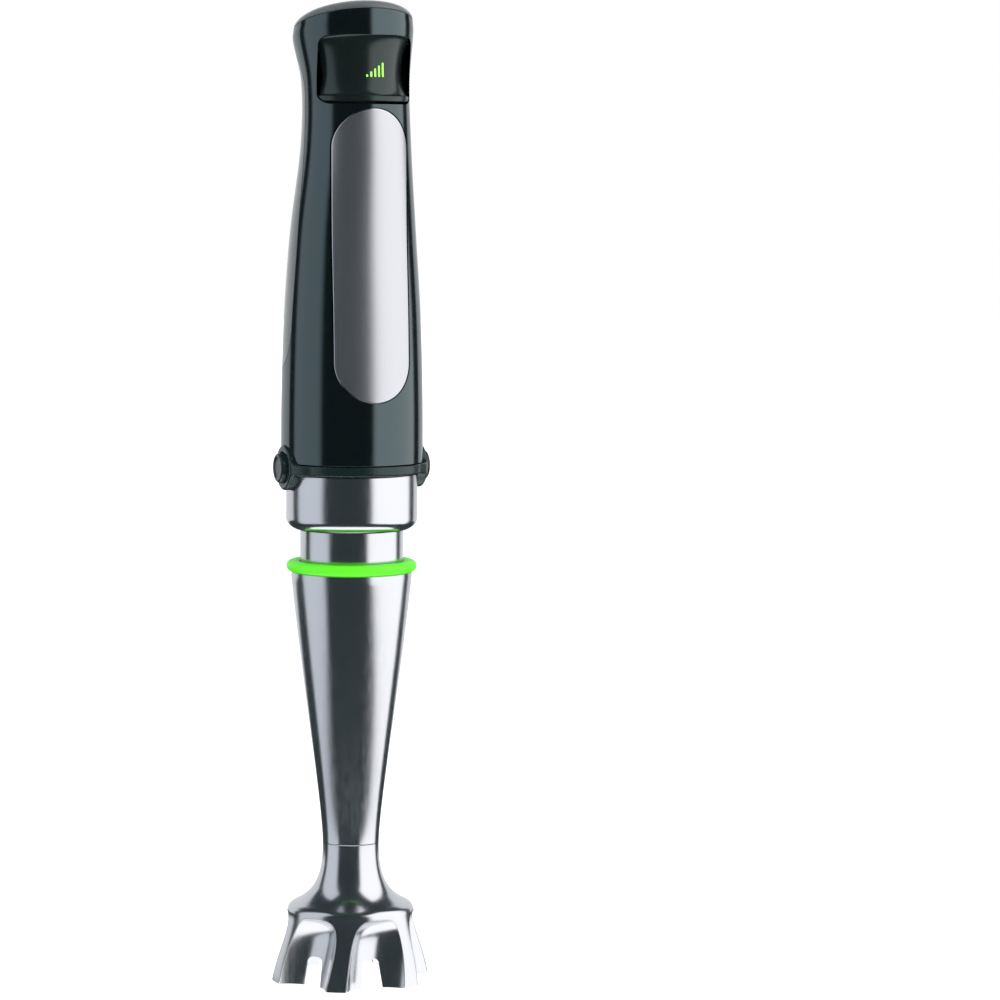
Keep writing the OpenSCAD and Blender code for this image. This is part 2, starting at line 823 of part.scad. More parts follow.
module trigger_shell() {
    color("#1d2224") as_mesh() difference() {
        intersection() {
            body(0.25, 340, 0, 48, 14);
            box([-trigger_hw, -40, trigger_z0], [trigger_hw, -9, trigger_z1]);
        }
        body(6, 330, 4, 36, 12);
        finger_hollow();
        box([-8.4, lever_front, trigger_z0 + 7.6], [8.4, 0, trigger_z1 + 2]);
        box([-10.2, -18.2, pin_z - 3.1], [10.2, 0, trigger_z1 + 2]);
        speed_bar_set();
    }
}

module trigger_lever() {
    color("#2a2e30") difference() {
        union() {
            box([-8.3, lever_front + 0.1, trigger_z0 + 7.7], [8.3, lever_front + 2, pin_z]);
            for (s = [-1, 1]) {
                bar_x(2.3, s * 6.6 - 1.6, s * 6.6 + 1.6, pin_y, pin_z);
                box([s * 6.6 - 1.6, lever_front + 1, pin_z - 6], [s * 6.6 + 1.6, pin_y, pin_z]);
            }
        }
        bar_x(1.25, -20, 20, pin_y, pin_z);
        box([-4.9, lever_front + 2.001, 360], [4.9, 0, 400]);
        box([-3.4, lever_front - 1, pin_z - 2.9], [3.4, 0, 400]);
    }
}

// A dot and rising bars that glow on the trigger
module speed_bar_set() {
    heights = [0.9, 2.1, 3.3, 4.5, 5.7];
    for (i = [0:4]) let (x = 1.9 + (i - 2) * 1.75, y = -2.4 - sqrt(pow(18.95, 2) - pow(x, 2)))
        box([x - 0.38, y - 0.3, trigger_z0 + 10], [x + 0.38, y + 0.6, trigger_z0 + 10 + heights[i]]);
}

module speed_bars() {
    color(green) speed_bar_set();
}

module safety_button() {
    color(black) on_cap(safety_back) {
        translate([0, 0, dome_h - 0.4]) cylinder(r1 = safety_r, r2 = safety_r - 0.6, h = 0.9);
        translate([0, 0, 1.4]) cylinder(r = safety_r, h = dome_h - 1.8);
        translate([0, 0, -1.8]) cylinder(r = 4.6, h = 3.3);
    }
}

// A push button that works along X, pointing to +X
module release_button() {
    color("#24292b") translate([0, 0, release_z]) rotate([0, 90, 0]) {
        rotate_extrude() polygon([[0, 24.2], [1.6, 24.2], [1.6, 29.7], [release_r, 29.7], [release_r, 31.6],
            [release_r - 0.9, 32.5], [0, 32.5]]);
    }
}

module release_button_left() {
    rotate(180) release_button();
}

module release_button_right() {
    release_button();
}

bell();
lower_bush_housing();
lower_bush();
shaft_seal();
shaft_tube();
soft_ring();
guide_carrier();
sleeve();
collar_shell();
collar_core();
guide_tube();
upper_bush();
stop_clip();
stroke_spring();
drive_rod();
blade_hub();
blade();
drive_coupling();
base_ring();
front_shell();
rear_shell();
rear_grip();
front_plate();
top_cap();
socket();
socket_seal();
retaining_wire();
release_springs();
case_screws();
cord_gland();
lower_bracket();
upper_bracket();
lower_bearing();
upper_bearing();
motor_mount();
motor_bolts();
stator();
field_coils();
brush_holders();
brushes();
circuit_board();
capacitor();
speed_sensor();
safety_switch();
control_frame();
trigger_pin();
trigger_spring();
safety_spring();
motor_shaft();
armature();
windings();
commutator();
fan();
motor_coupling();
trigger_shell();
trigger_lever();
speed_bars();
safety_button();
release_button_left();
release_button_right();
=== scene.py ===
"""The looks of the immersion blender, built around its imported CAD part.

Shapes are worked out in millimetres, with Z up and the front towards -Y.
solid() turns them into metres.
"""
import json
import math

import bpy
import bmesh
import numpy as np
from mathutils import Matrix, Vector

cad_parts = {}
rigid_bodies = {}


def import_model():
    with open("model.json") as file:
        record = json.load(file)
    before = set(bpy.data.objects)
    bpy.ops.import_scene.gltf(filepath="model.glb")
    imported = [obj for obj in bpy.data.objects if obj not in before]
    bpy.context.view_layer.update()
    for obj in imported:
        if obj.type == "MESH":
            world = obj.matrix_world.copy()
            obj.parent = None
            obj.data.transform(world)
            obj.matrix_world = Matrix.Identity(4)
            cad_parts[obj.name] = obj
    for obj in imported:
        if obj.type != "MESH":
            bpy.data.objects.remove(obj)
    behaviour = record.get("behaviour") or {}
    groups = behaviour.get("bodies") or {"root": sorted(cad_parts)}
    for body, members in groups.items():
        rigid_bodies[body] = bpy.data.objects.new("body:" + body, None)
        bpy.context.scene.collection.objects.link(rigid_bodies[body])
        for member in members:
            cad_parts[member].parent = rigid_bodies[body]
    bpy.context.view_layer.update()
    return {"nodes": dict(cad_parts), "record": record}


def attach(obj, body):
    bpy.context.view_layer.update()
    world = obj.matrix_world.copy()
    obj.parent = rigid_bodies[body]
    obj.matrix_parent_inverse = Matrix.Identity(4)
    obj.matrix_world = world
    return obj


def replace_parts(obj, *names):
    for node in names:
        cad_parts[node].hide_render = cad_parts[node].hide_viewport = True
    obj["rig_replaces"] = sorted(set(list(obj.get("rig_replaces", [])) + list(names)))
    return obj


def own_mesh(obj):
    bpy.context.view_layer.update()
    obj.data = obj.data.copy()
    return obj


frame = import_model()

# ---------- driving sizes, as in the CAD part ----------

BELL_R, BELL_H, NECK_R, WALL = 33.2, 57.0, 11.65, 1.1
FLUTE_R, FLUTE_DEPTH, FLUTE_TOP, SWIRL, LEGS = 16.0, 8.7, 28.3, 7.5, 6
NOTCH_W, NOTCH_H, NOTCH_CORNER = 9.0, 12.0, 2.5
FLARE = [(NECK_R, BELL_H), (NECK_R, 43.5), (14.5, 36.5), (23.5, 32.2)]
SHOULDER = [(23.5, 32.2), (25.3, 31.3), (26.2, 30.3), (26.2, 28.5)]
SKIRT = [(26.2, 28.5), (26.4, 22), (31, 14), (BELL_R, 0)]
TUBE_R, TUBE_TOP, RING_Z, RING_H, RING_R = 24.9, 168.0, 170.2, 4.6, 26.9
TUBE_LINE = [(NECK_R, BELL_H), (NECK_R, 72), (20.2, 123), (TUBE_R, TUBE_TOP)]
SLEEVE_R, COLLAR_R, COLLAR_TOP, HANDLE_Z, CASE_Z = 21.25, 27.1, 210.8, 208.0, 215.5
BASE_R, BOSS_R, RELEASE_R, RELEASE_Z = 29.3, 9.2, 6.0, 213.5
RIM_Z, RIM_SLOPE, TILT_Z, DOME_H = 393.8, 0.268, 362.4, 6.05
BODY_Z = [208, 240, 275, 310, 345, 370.5, 389.4, 394.4]
BODY_R = [29.2, 29.1, 28.1, 25.8, 22.6, 22.1, 24.6, 24.3]
BODY_Y = [0, 0, 0, -0.5, -3.8, -3.0, 0, 0]
SPLIT_Y, CASE_WALL = 2.6, 2.4
PLATE_W, PLATE_Z = 32.6, (241.0, 360.1)
TRIGGER_Z, HOLLOW = (362.7, 388.0), 3.3
SAFETY_R, SAFETY_BACK, GLAND_R, GLAND_BACK, CABLE_R = 7.0, -3.0, 6.0, 14.0, 3.6
SEAT_Z, SOCKET_R = 186.0, 20.6
PLATE_RECESS, GRIP_RECESS, GRIP_SKIN = 1.1, 1.35, 1.25
BOSS_IN, BOSS_FACE, BUTTON_IN, BUTTON_FACE = 24.0, 30.1, 29.7, 32.5
TRIGGER_R, TRIGGER_HALF_ANGLE, TRIGGER_INSET = 22.0, 66.0, 0.25
QUARTER = np.linspace(0, math.pi / 2, 7)
AXIS_R = 0.02  # stands in for a point on the axis


# ---------- lines and surfaces ----------

def unit(v):
    return v / np.linalg.norm(v, axis=-1, keepdims=True)


def angles(n, start=0.0):
    """n even angles round a full turn."""
    return (np.arange(n) + start) * 2 * math.pi / n


def polar(a, r, z=0.0):
    return np.stack([r * np.cos(a), r * np.sin(a), z + 0 * a], -1)


def beside(line, d):
    """A line of points in a plane, moved by d to the right of its own direction."""
    t = unit(np.gradient(line, axis=0))
    return line + d * np.stack([t[:, 1], -t[:, 0]], -1)


def rounded_rim(r, z, edge):
    """A (radius, height) quarter circle that ends an outline at radius r, from height z up."""
    return [(r - edge + edge * math.cos(t), z + edge * math.sin(t)) for t in QUARTER]


def bezier(p, n):
    t = np.linspace(0, 1, n + 1)[:, None]
    a, b, c, d = np.array(p, float)
    return (1 - t) ** 3 * a + 3 * t * (1 - t) ** 2 * b + 3 * t * t * (1 - t) * c + t ** 3 * d


def hermite(values, z):
    """The casing's smooth station curve, the same law as in the CAD part."""
    t, v = np.array(BODY_Z, float), np.array(values, float)
    last = len(t) - 1
    after = [min(i + 1, last) for i in range(last + 1)]
    before = [max(i - 1, 0) for i in range(last + 1)]
    slopes = (v[after] - v[before]) / (t[after] - t[before])
    z = np.asarray(z, float)
    i = np.clip(np.searchsorted(t, z, side="left") - 1, 0, last - 1)
    h = t[i + 1] - t[i]
    u = (z - t[i]) / h
    return ((2 * u ** 3 - 3 * u * u + 1) * v[i] + (u ** 3 - 2 * u * u + u) * h * slopes[i]
            + (3 * u * u - 2 * u ** 3) * v[i + 1] + (u ** 3 - u * u) * h * slopes[i + 1])


def body_r(z):
    return hermite(BODY_R, z)


def body_y(z):
    return hermite(BODY_Y, z)


def body_tilt(z):
    """How much a station's plane slopes, from level at TILT_Z to the rim's slope."""
    return RIM_SLOPE * (np.maximum(0, np.asarray(z, float) - TILT_Z) / (RIM_Z - TILT_Z)) ** 1.5


def body_point(angle, station, inset=0.0):
    """Points of the casing at an angle from +X and a station height."""
    r = body_r(station) - inset
    y = body_y(station) + r * np.sin(angle)
    return np.stack([r * np.cos(angle), y, station - body_tilt(station) * y], -1)


def station_of(y, z):
    """The station whose sloping plane passes through y and z, settled in a few rounds."""
    s = z + 0 * y
    for _ in range(8):
        s = z + body_tilt(s) * y
    return s


def body_depth(p):
    """How far inside the casing's surface each point lies."""
    s = station_of(p[..., 1], p[..., 2])
    return body_r(s) - np.hypot(p[..., 0], p[..., 1] - body_y(s))


def gradient(f, p):
    """The direction in which f grows fastest at each point."""
    step = 0.02
    return unit(np.stack([(f(p + step * e) - f(p - step * e)) for e in np.eye(3)], -1))


def casing_front(x, z):
    """The casing's front surface as points over the front view."""
    y = -20 + 0 * x
    for _ in range(12):
        s = z + body_tilt(z + body_tilt(z) * y) * y
        y = body_y(s) - np.sqrt(np.maximum(body_r(s) ** 2 - x * x, 1))
    return np.stack([x, y, z], -1)


# ---------- mesh building ----------

def shade(me, sharp):
    """Smooth shading, except across edges sharper than an angle in degrees."""
    me.shade_smooth()
    me.set_sharp_from_angle(angle=math.radians(sharp))


def solid(name, verts, faces, sharp=35.0, mark=None):
    """A closed mesh from points in millimetres, smooth except across its real edges."""
    me = bpy.data.meshes.new(name)
    me.from_pydata((np.asarray(verts, float) / 1000).tolist(), [], faces)
    if mark is not None:
        me.polygons.foreach_set("material_index", np.asarray(mark, np.int32))
    bm = bmesh.new()
    bm.from_mesh(me)
    bmesh.ops.remove_doubles(bm, verts=bm.verts, dist=2e-7)
    bmesh.ops.recalc_face_normals(bm, faces=bm.faces)
    bm.to_mesh(me)
    bm.free()
    shade(me, sharp)
    ob = bpy.data.objects.new(name, me)
    bpy.context.scene.collection.objects.link(ob)
    return ob


def band(a, b, n):
    """Quads between two closed rings of n points that start at indices a and b."""
    return [(a + i, a + (i + 1) % n, b + (i + 1) % n, b + i) for i in range(n)]


def rings_solid(name, rings, closed=False, **options):
    """A solid through rings of points: capped at both ends, or closed from the last to the first."""
    n, m = len(rings[0]), len(rings)
    faces = [f for k in range(m - 1) for f in band(k * n, k * n + n, n)]
    if closed:
        faces += band((m - 1) * n, 0, n)
    else:
        faces += [tuple(range(n))[::-1], tuple(range((m - 1) * n, m * n))]
    return solid(name, np.concatenate(rings), faces, **options)


def rounded(corners, steps=5):
    """An outline of (u, v, radius) corners with each corner rounded."""
    out, n = [], len(corners)
    for i, (u, v, r) in enumerate(corners):
        p = np.array([u, v], float)
        if not r:
            out.append(p)
            continue
        a, b = (np.array(corners[j % n][:2], float) - p for j in (i - 1, i + 1))
        la, lb = np.linalg.norm(a), np.linalg.norm(b)
        a, b = a / la, b / lb
        half = math.acos(max(-1, min(1, a @ b))) / 2
        d = min(r / math.tan(half), 0.48 * la, 0.48 * lb)
        r = d * math.tan(half)
        mid = (a + b) / np.linalg.norm(a + b)
        centre = p + mid * r / math.sin(half)
        s, e = p + a * d - centre, p + b * d - centre
        sweep = math.pi - 2 * half
        side = np.sign(s[0] * e[1] - s[1] * e[0])
        for k in range(steps + 1):
            t = side * sweep * k / steps
            out.append(centre + [s[0] * math.cos(t) - s[1] * math.sin(t),
                                 s[0] * math.sin(t) + s[1] * math.cos(t)])
    return np.array(out)


def lathe(name, outline, n=256, **options):
    """A body of revolution about Z from a closed (radius, height) outline."""
    rings = [polar(angles(n), r, z) for r, z in outline]
    return rings_solid(name, rings, closed=True, **options)


def spindle(name, outline, n=128):
    """A body of revolution whose outline starts and ends on the axis."""
    return rings_solid(name, [polar(angles(n), max(r, AXIS_R), z) for r, z in outline])


def move(ob, matrix):
    ob.data.transform(matrix)
    return ob


def turn_to_x(ob, side=1):
    """Lays a piece made along Z on the X axis at the release height, pointing to side."""
    turned = Matrix.Rotation(side * math.pi / 2, 4, "Y")
    return move(ob, Matrix.Translation((0, 0, RELEASE_Z / 1000)) @ turned)


def cut(ob, *tools, how="DIFFERENCE"):
    """Combines ob with each tool in turn and removes the tools."""
    for tool in tools:
        m = ob.modifiers.new("cut", "BOOLEAN")
        m.operation, m.object, m.solver = how, tool, "MANIFOLD"
    graph = bpy.context.evaluated_depsgraph_get()
    me = bpy.data.meshes.new_from_object(ob.evaluated_get(graph))
    ob.modifiers.clear()
    ob.data = me
    for tool in tools:
        bpy.data.objects.remove(tool)
    return ob


def join(ob, *others):
    """Adds the other meshes to ob as separate shells."""
    bm = bmesh.new()
    bm.from_mesh(ob.data)
    for o in others:
        bm.from_mesh(o.data)
        bpy.data.objects.remove(o)
    bm.to_mesh(ob.data)
    bm.free()
    return ob


def smooth_on(ob, depth, levels, tolerance=0.03, sharp=35.0):
    """Gives the faces that lie on level surfaces of depth() their exact normals."""
    me = ob.data
    shade(me, sharp)
    co = np.zeros(len(me.vertices) * 3)
    me.vertices.foreach_get("co", co)
    co = co.reshape(-1, 3) * 1000
    loops = np.zeros(len(me.loops), np.int32)
    me.loops.foreach_get("vertex_index", loops)
    face = np.zeros(len(me.polygons) * 3)
    me.polygons.foreach_get("normal", face)
    sizes = np.zeros(len(me.polygons), np.int32)
    me.polygons.foreach_get("loop_total", sizes)
    face = np.repeat(face.reshape(-1, 3), sizes, axis=0)
    normals = np.zeros(len(me.loops) * 3)
    me.corner_normals.foreach_get("vector", normals)
    normals = normals.reshape(-1, 3)
    d, g = depth(co), gradient(depth, co)
    starts = np.concatenate([[0], np.cumsum(sizes)[:-1]])
    for level in levels:
        near = np.abs(d - level) < tolerance
        whole = np.repeat(np.minimum.reduceat(near[loops].astype(int), starts), sizes) > 0
        dot = (g[loops] * face).sum(-1)
        use = whole & (np.abs(dot) > 0.93)
        normals[use] = g[loops][use] * np.sign(dot[use])[:, None]
    me.normals_split_custom_set(normals.tolist())
    return ob


def sweep(name, path, r, sides=8):
    """A round bead of radius r along a line of points."""
    path = np.asarray(path, float)
    t = unit(np.gradient(path, axis=0))
    up = np.where(np.abs(t[:, 2:3]) < 0.9, [[0, 0, 1.0]], [[1.0, 0, 0]])
    u = unit(np.cross(t, up))
    for i in range(1, len(u)):
        u[i] = u[i - 1] - (u[i - 1] @ t[i]) * t[i]
        u[i] /= np.linalg.norm(u[i])
    w = np.cross(t, u)
    cos, sin = np.cos(angles(sides))[:, None], np.sin(angles(sides))[:, None]
    return rings_solid(name, [p + r * (cos * a + sin * b) for p, a, b in zip(path, u, w)], sharp=60)


def panel(name, outline, core, surface, thick, edge, inner=26, rim=0.0):
    """A curved cover with a rounded rim: its outline shrinks to its core, on surface(u, v).

    The faces within rim of the outline get the second material.
    """
    outline, core = np.array(outline), np.array(core)
    ahead, behind = np.roll(outline, -1, 0), np.roll(outline, 1, 0)
    t = ahead - behind
    out = unit(np.stack([t[:, 1], -t[:, 0]], -1))

    def points(uv, deep):
        p = surface(uv[:, 0], uv[:, 1])
        h = 0.05
        du = surface(uv[:, 0] + h, uv[:, 1]) - surface(uv[:, 0] - h, uv[:, 1])
        dv = surface(uv[:, 0], uv[:, 1] + h) - surface(uv[:, 0], uv[:, 1] - h)
        return p - deep * unit(np.cross(du, dv))

    rings, second = [], []
    for k in np.linspace(0, 1, 6):
        rings.append(points(core + (outline - core) * k, thick))
    rings.append(points(outline, edge))
    first_rim = len(rings) - 1
    for a in QUARTER[1:]:
        rings.append(points(outline - out * edge * (1 - math.cos(a)), edge * (1 - math.sin(a))))
    if rim > edge:
        rings.append(points(outline - out * rim, 0))
    last_rim = len(rings) - 1
    lip = outline - out * max(edge, rim)
    for k in np.linspace(1, 0, inner + 1)[1:]:
        rings.append(points(core + (lip - core) * k, 0))
    n = len(outline)
    for k in range(len(rings) - 1):
        second += [1 if first_rim <= k < last_rim else 0] * n
    faces = [f for k in range(len(rings) - 1) for f in band(k * n, k * n + n, n)]
    return solid(name, np.concatenate(rings), faces, sharp=50, mark=second if rim else None)


# ---------- bell ----------

def skirt_r(z):
    """The bell's radius over its legs at a height."""
    line = bezier(SKIRT, 400)[::-1]
    return np.interp(z, line[:, 1], line[:, 0])


def flute_circle(z):
    """Distance of a flute's circle from the axis, and its turn, at a height."""
    share = np.clip(np.asarray(z, float) / FLUTE_TOP, 0, 1)
    return skirt_r(z) - FLUTE_DEPTH * np.sqrt(1 - share ** 2) + FLUTE_R, np.radians(SWIRL) * share


def make_bell():
    """The bell's shell as one grid of points with its exact normals, and the beads of its flutes."""
    corner, taper, foot_round = NOTCH_CORNER, 0.8, 0.25
    across, notch, leg = 10, 12, 20  # columns in half a flute, in a notch and in a leg
    flute = 2 * across + notch
    low = np.concatenate([[0, 0.3], np.linspace(1.3, NOTCH_H - corner, 8),
                          NOTCH_H - corner + corner * np.sin(np.linspace(0, math.pi / 2, 8))[1:]])
    arch = FLUTE_TOP * (1 - np.linspace((1 - NOTCH_H / FLUTE_TOP) ** (1 / 3), 0, 36)[1:] ** 3)
    upper = np.concatenate([bezier(SHOULDER, 12)[::-1], bezier(FLARE, 44)[::-1][1:]])
    z = np.concatenate([low, arch, upper[:, 1]])
    big_r = np.concatenate([skirt_r(low), skirt_r(arch), upper[:, 0]])
    closed = z >= FLUTE_TOP - 1e-9  # the rows where the flutes have run out
    above = z > FLUTE_TOP + 1e-6
    length = np.concatenate([[0], np.cumsum(np.hypot(np.diff(z), np.diff(big_r)))])
    slope = unit(np.stack([np.gradient(z, length), -np.gradient(big_r, length)], -1))
    c, turn = flute_circle(z)
    crease = np.arccos(np.clip((big_r ** 2 + c ** 2 - FLUTE_R ** 2) / (2 * big_r * c), -1, 1))
    crease[closed] = 0

    def near(phi):
        """The flute's radius at an angle from its middle, one value per row."""
        return c * np.cos(phi) - np.sqrt(np.maximum(FLUTE_R ** 2 - (c * np.sin(phi)) ** 2, 0))

    # The notch's edges in the flute's own angle, kept in proportion above the notch
    round_top = np.sqrt(np.maximum(0, corner ** 2 - (z - NOTCH_H + corner) ** 2))
    half = np.where(z < NOTCH_H - corner, NOTCH_W / 2 - taper * (z + 1) / (NOTCH_H + 1 - corner),
                    NOTCH_W / 2 - corner - taper + round_top)
    shift = turn - math.radians(SWIRL) * NOTCH_H / FLUTE_TOP / 2
    top = len(low) - 1
    sides = []
    for s in (-1, 1):
        phi = s * half / (c - FLUTE_R)
        for _ in range(8):
            phi = np.arcsin(np.clip(s * half / near(phi), -1, 1)) - shift
        phi[top + 1:] = phi[top] / crease[top] * crease[top + 1:]
        sides.append(phi)
    counts = [("flute", across), ("notch", notch), ("flute", across), ("leg", leg)]
    stops = [-crease, sides[0], sides[1], crease, 2 * math.pi / LEGS - crease]
    phi = np.concatenate([a[:, None] + (b - a)[:, None] * np.arange(k) / k
                          for a, b, (_, k) in zip(stops[:-1], stops[1:], counts)], axis=1)
    kinds = [name for name, k in counts for _ in range(k)]
    per = phi.shape[1]
    in_flute = np.arange(per) <= flute
    sunk_r = (c[:, None] * np.cos(phi)
              - np.sqrt(np.maximum(FLUTE_R ** 2 - (c[:, None] * np.sin(phi)) ** 2, 0)))
    radius = np.where(in_flute, sunk_r, big_r[:, None])
    radius[closed] = big_r[closed][:, None]
    centre = math.pi / 2 + angles(LEGS)
    theta = (centre[None, :, None] + turn[:, None, None] + phi[:, None, :]).reshape(len(z), -1)
    radius = np.tile(radius, (1, LEGS))
    outer = polar(theta, radius, z[:, None])
    n_leg = polar(theta, slope[:, :1], slope[:, 1:])

    def centre_at(height):
        """The centres of the flutes' circles, one for every point of the grid."""
        cc, tt = flute_circle(height)
        return polar(np.repeat(centre[None] + tt[:, None], per, axis=1), cc[:, None])

    up, down = np.minimum(z + 0.05, FLUTE_TOP - 1e-4), np.minimum(z - 0.05, FLUTE_TOP - 0.05)
    flat = outer * [1, 1, 0]
    away = [np.linalg.norm(flat - centre_at(h), axis=-1) for h in (up, down)]
    rise = (away[0] - away[1]) / np.maximum(up - down, 1e-3)[:, None]
    n_flute = unit(centre_at(z) - flat)
    n_flute[..., 2] = -rise
    n_flute = unit(n_flute)
    n_flute[above] = n_leg[above]
    column = np.tile(np.arange(per), LEGS)[None, :, None]
    blend = np.where((column == 0) | (column == flute), unit(n_leg + n_flute),
                     np.where(column < flute, n_flute, n_leg))
    blend[above] = n_leg[above]
    inner = outer - WALL * blend
    inner[0, :, 2] = 0
    outer[0] -= foot_round * blend[0] * [1, 1, 0]
    inner[0] += foot_round * blend[0] * [1, 1, 0]
    for n in (n_leg, n_flute):
        n[0] = unit(n[0] + [0, 0, -0.9])

    rows, cols = theta.shape
    index = np.arange(rows * cols).reshape(rows, cols)
    for i in np.nonzero(closed)[0]:
        for k in range(LEGS):
            index[i, k * per:k * per + flute + 1] = index[i, k * per]
    verts = np.concatenate([outer.reshape(-1, 3), inner.reshape(-1, 3)])
    offset = rows * cols
    present = np.ones((rows - 1, cols), bool)
    present[:top][:, np.array(kinds * LEGS) == "notch"] = False
    faces, normals = [], []

    def add(corners, vectors):
        """A face with a normal at each corner, without the corners that coincide."""
        seen, f, n = set(), [], []
        for v, w in zip(corners, vectors):
            if v not in seen:
                seen.add(v)
                f.append(int(v))
                n.append(w)
        if len(f) > 2:
            faces.append(f)
            normals.extend(n)

    def wall(i, j, k, m):
        """A strip across the wall's thickness from grid point (i, j) to (k, m)."""
        a, b = index[i, j % cols], index[k, m % cols]
        if a == b:
            return
        quad = [a, b, b + offset, a + offset]
        p = verts[quad]
        n = unit(np.cross(p[1] - p[0], p[2] - p[1]))
        add(quad, [n] * 4)

    for i in range(rows - 1):
        for j in range(cols):
            if not present[i, j]:
                continue
            spots = [(i, j), (i, (j + 1) % cols), (i + 1, (j + 1) % cols), (i + 1, j)]
            field = n_leg if kinds[j % per] == "leg" or closed[i] else n_flute
            ids = [index[s] for s in spots]
            vec = [field[s] for s in spots]
            add(ids, vec)
            add([v + offset for v in ids[::-1]], [-v for v in vec[::-1]])
            if i == 0 or not present[i - 1, j]:
                wall(i, j + 1, i, j)
            if i == rows - 2:
                wall(i + 1, j, i + 1, j + 1)
            if not present[i, (j + 1) % cols]:
                wall(i + 1, j + 1, i, j + 1)
            if not present[i, j - 1]:
                wall(i, j, i + 1, j)
    me = bpy.data.meshes.new("bell_shell")
    me.from_pydata((verts / 1000).tolist(), [], faces)
    me.shade_smooth()
    me.normals_split_custom_set([list(map(float, n)) for n in normals])
    shell = bpy.data.objects.new("bell_shell", me)
    bpy.context.scene.collection.objects.link(shell)

    # A polished bead along the edge of every flute
    beads, bead_r, sunk = [], 0.3, 0.2
    last = np.nonzero(closed)[0][0]
    for k in range(LEGS):
        spine = outer - sunk * unit(n_leg + n_flute)
        right, left = spine[:last + 1, k * per + flute], spine[:last, k * per]
        right[0, 2] = left[0, 2] = bead_r
        beads.append(sweep(f"bead_{k}", np.concatenate([right, left[::-1]]), bead_r))
    edges = join(beads[0], *beads[1:])
    edges.name = "bell_flute_edges"
    edges.data.shade_smooth()
    return shell, edges


# ---------- casing ----------

def dense(outline, step=0.6):
    """A closed outline with points added along its long sides."""
    out = []
    for a, b in zip(outline, np.roll(outline, -1, 0)):
        k = max(1, int(math.ceil(np.linalg.norm(b - a) / step)))
        out += [a + (b - a) * i / k for i in range(k)]
    return np.array(out)


def casing(name, inset, z0, extra=0.0, n=288, levels=150, soft=0.0):
    """The casing's form from z0 to the rim, made smaller by inset, with soft edges or extra height."""
    a = angles(n, 0.5)
    rings = [body_point(a, z, inset) for z in np.linspace(z0, RIM_Z - soft, levels)]
    if soft:
        for t in np.linspace(0, math.pi / 2, 5)[1:]:
            deep = inset + soft * (1 - math.cos(t))
            rings.append(body_point(a, RIM_Z - soft * (1 - math.sin(t)), deep))
            rings.insert(0, body_point(a, z0 - soft * math.sin(t), deep))
    if extra:
        rings.append(body_point(a, RIM_Z, inset) + [0, 0, extra])
    return rings_solid(name, rings)


def prism(name, outline, axis, low, high):
    """An outline seen from the front (axis Y) or the side (axis X), pushed along that axis."""
    u, v = np.asarray(outline).T
    if axis == "Y":
        rings = [np.stack([u, y + 0 * u, v], -1) for y in (low, high)]
    else:
        rings = [np.stack([x + 0 * u, u, v], -1) for x in (low, high)]
    return rings_solid(name, rings)


def block(low, high):
    """A box between two opposite corners."""
    (x0, y0, z0), (x1, y1, z1) = low, high
    return rings_solid("block", [np.array([(x0, y0, z), (x1, y0, z), (x1, y1, z), (x0, y1, z)], float)
                                 for z in (z0, z1)])


def stadium(grow=0.0):
    """The front plate's outline, with its two round ends."""
    half = PLATE_W / 2
    n = 64
    a = np.arange(n + 1) * math.pi / n
    low, high = PLATE_Z[0] + half, PLATE_Z[1] - half
    r = half + grow
    return np.concatenate([np.stack([r * np.cos(a), high + r * np.sin(a)], -1),
                           np.stack([-r * np.cos(a), low - r * np.sin(a)], -1)])


def grip_side(grow=0.0):
    """The rear grip's outline in the side view, open towards the back."""
    upper = bezier([(30, 385), (10, 385), (-0.5, 382.5), (-4.2, 366.5)], 32)
    edge = bezier([(-4.2, 366.5), (-5.5, 335), (-5.8, 300), (-4.8, 270)], 24)
    lower = bezier([(-4.8, 270), (-3.4, 256), (3, 251.5), (30, 250)], 32)
    line = np.concatenate([upper, edge[1:], lower[1:]])
    line = beside(line, grow)
    return np.concatenate([line, [(40, line[-1, 1]), (40, line[0, 1])]])


def skin_tool(name, deep, outline, axis, low, high):
    """What a cover's recess takes out of the casing."""
    tool = cut(casing(name, -1, CASE_Z - 1, 2), casing("core", deep, CASE_Z - 2, 4))
    return cut(tool, prism("outline", outline, axis, low, high), how="INTERSECT")


def web_drop(d, start, centre):
    """How far a web's edge has dropped towards the ring, on a fillet from start to centre."""
    fillet_r = 5
    return math.sqrt(fillet_r ** 2 - max(0, centre - d) ** 2) if d > start else None


def fillet_web(grow=0.0):
    """The web that blends a release boss into the base ring, on the +X side."""
    reach, inner_r, boss_x, ring_x = 18, 23.5, 29.8, BASE_R - 0.05
    rings = []
    for y in np.linspace(-reach, reach, 73):
        d = abs(y)
        t = np.clip((d - 8) / 10, 0, 1)
        t = t * t * (3 - 2 * t)
        x = (1 - t) * boss_x + t * math.sqrt(ring_x ** 2 - y * y)
        below, above = web_drop(d, 7.85, 12.12), web_drop(d, 8.11, 12.52)
        low = 208.7 if below is None else 206.1 + below
        high = 217.84 if above is None else 220.2 - above
        x_in = math.sqrt(inner_r ** 2 - y * y)
        x_out = x + 9 * grow
        corners = [(x_in, low - grow, 0), (x_out, low - grow, 0.8), (x_out, high + grow, 0.8),
                   (x_in, high + grow, 0)]
        uv = rounded(corners)
        rings.append(np.stack([uv[:, 0], y + 0 * uv[:, 0], uv[:, 1]], -1))
    return rings_solid("web", rings)


def web_on(side, grow=0.0):
    return move(fillet_web(grow), Matrix.Rotation(0 if side > 0 else math.pi, 4, "Z"))


def disc_on(side, r, low, high):
    return turn_to_x(spindle("disc", [(0, low), (r, low), (r, high), (0, high)], 96), side)


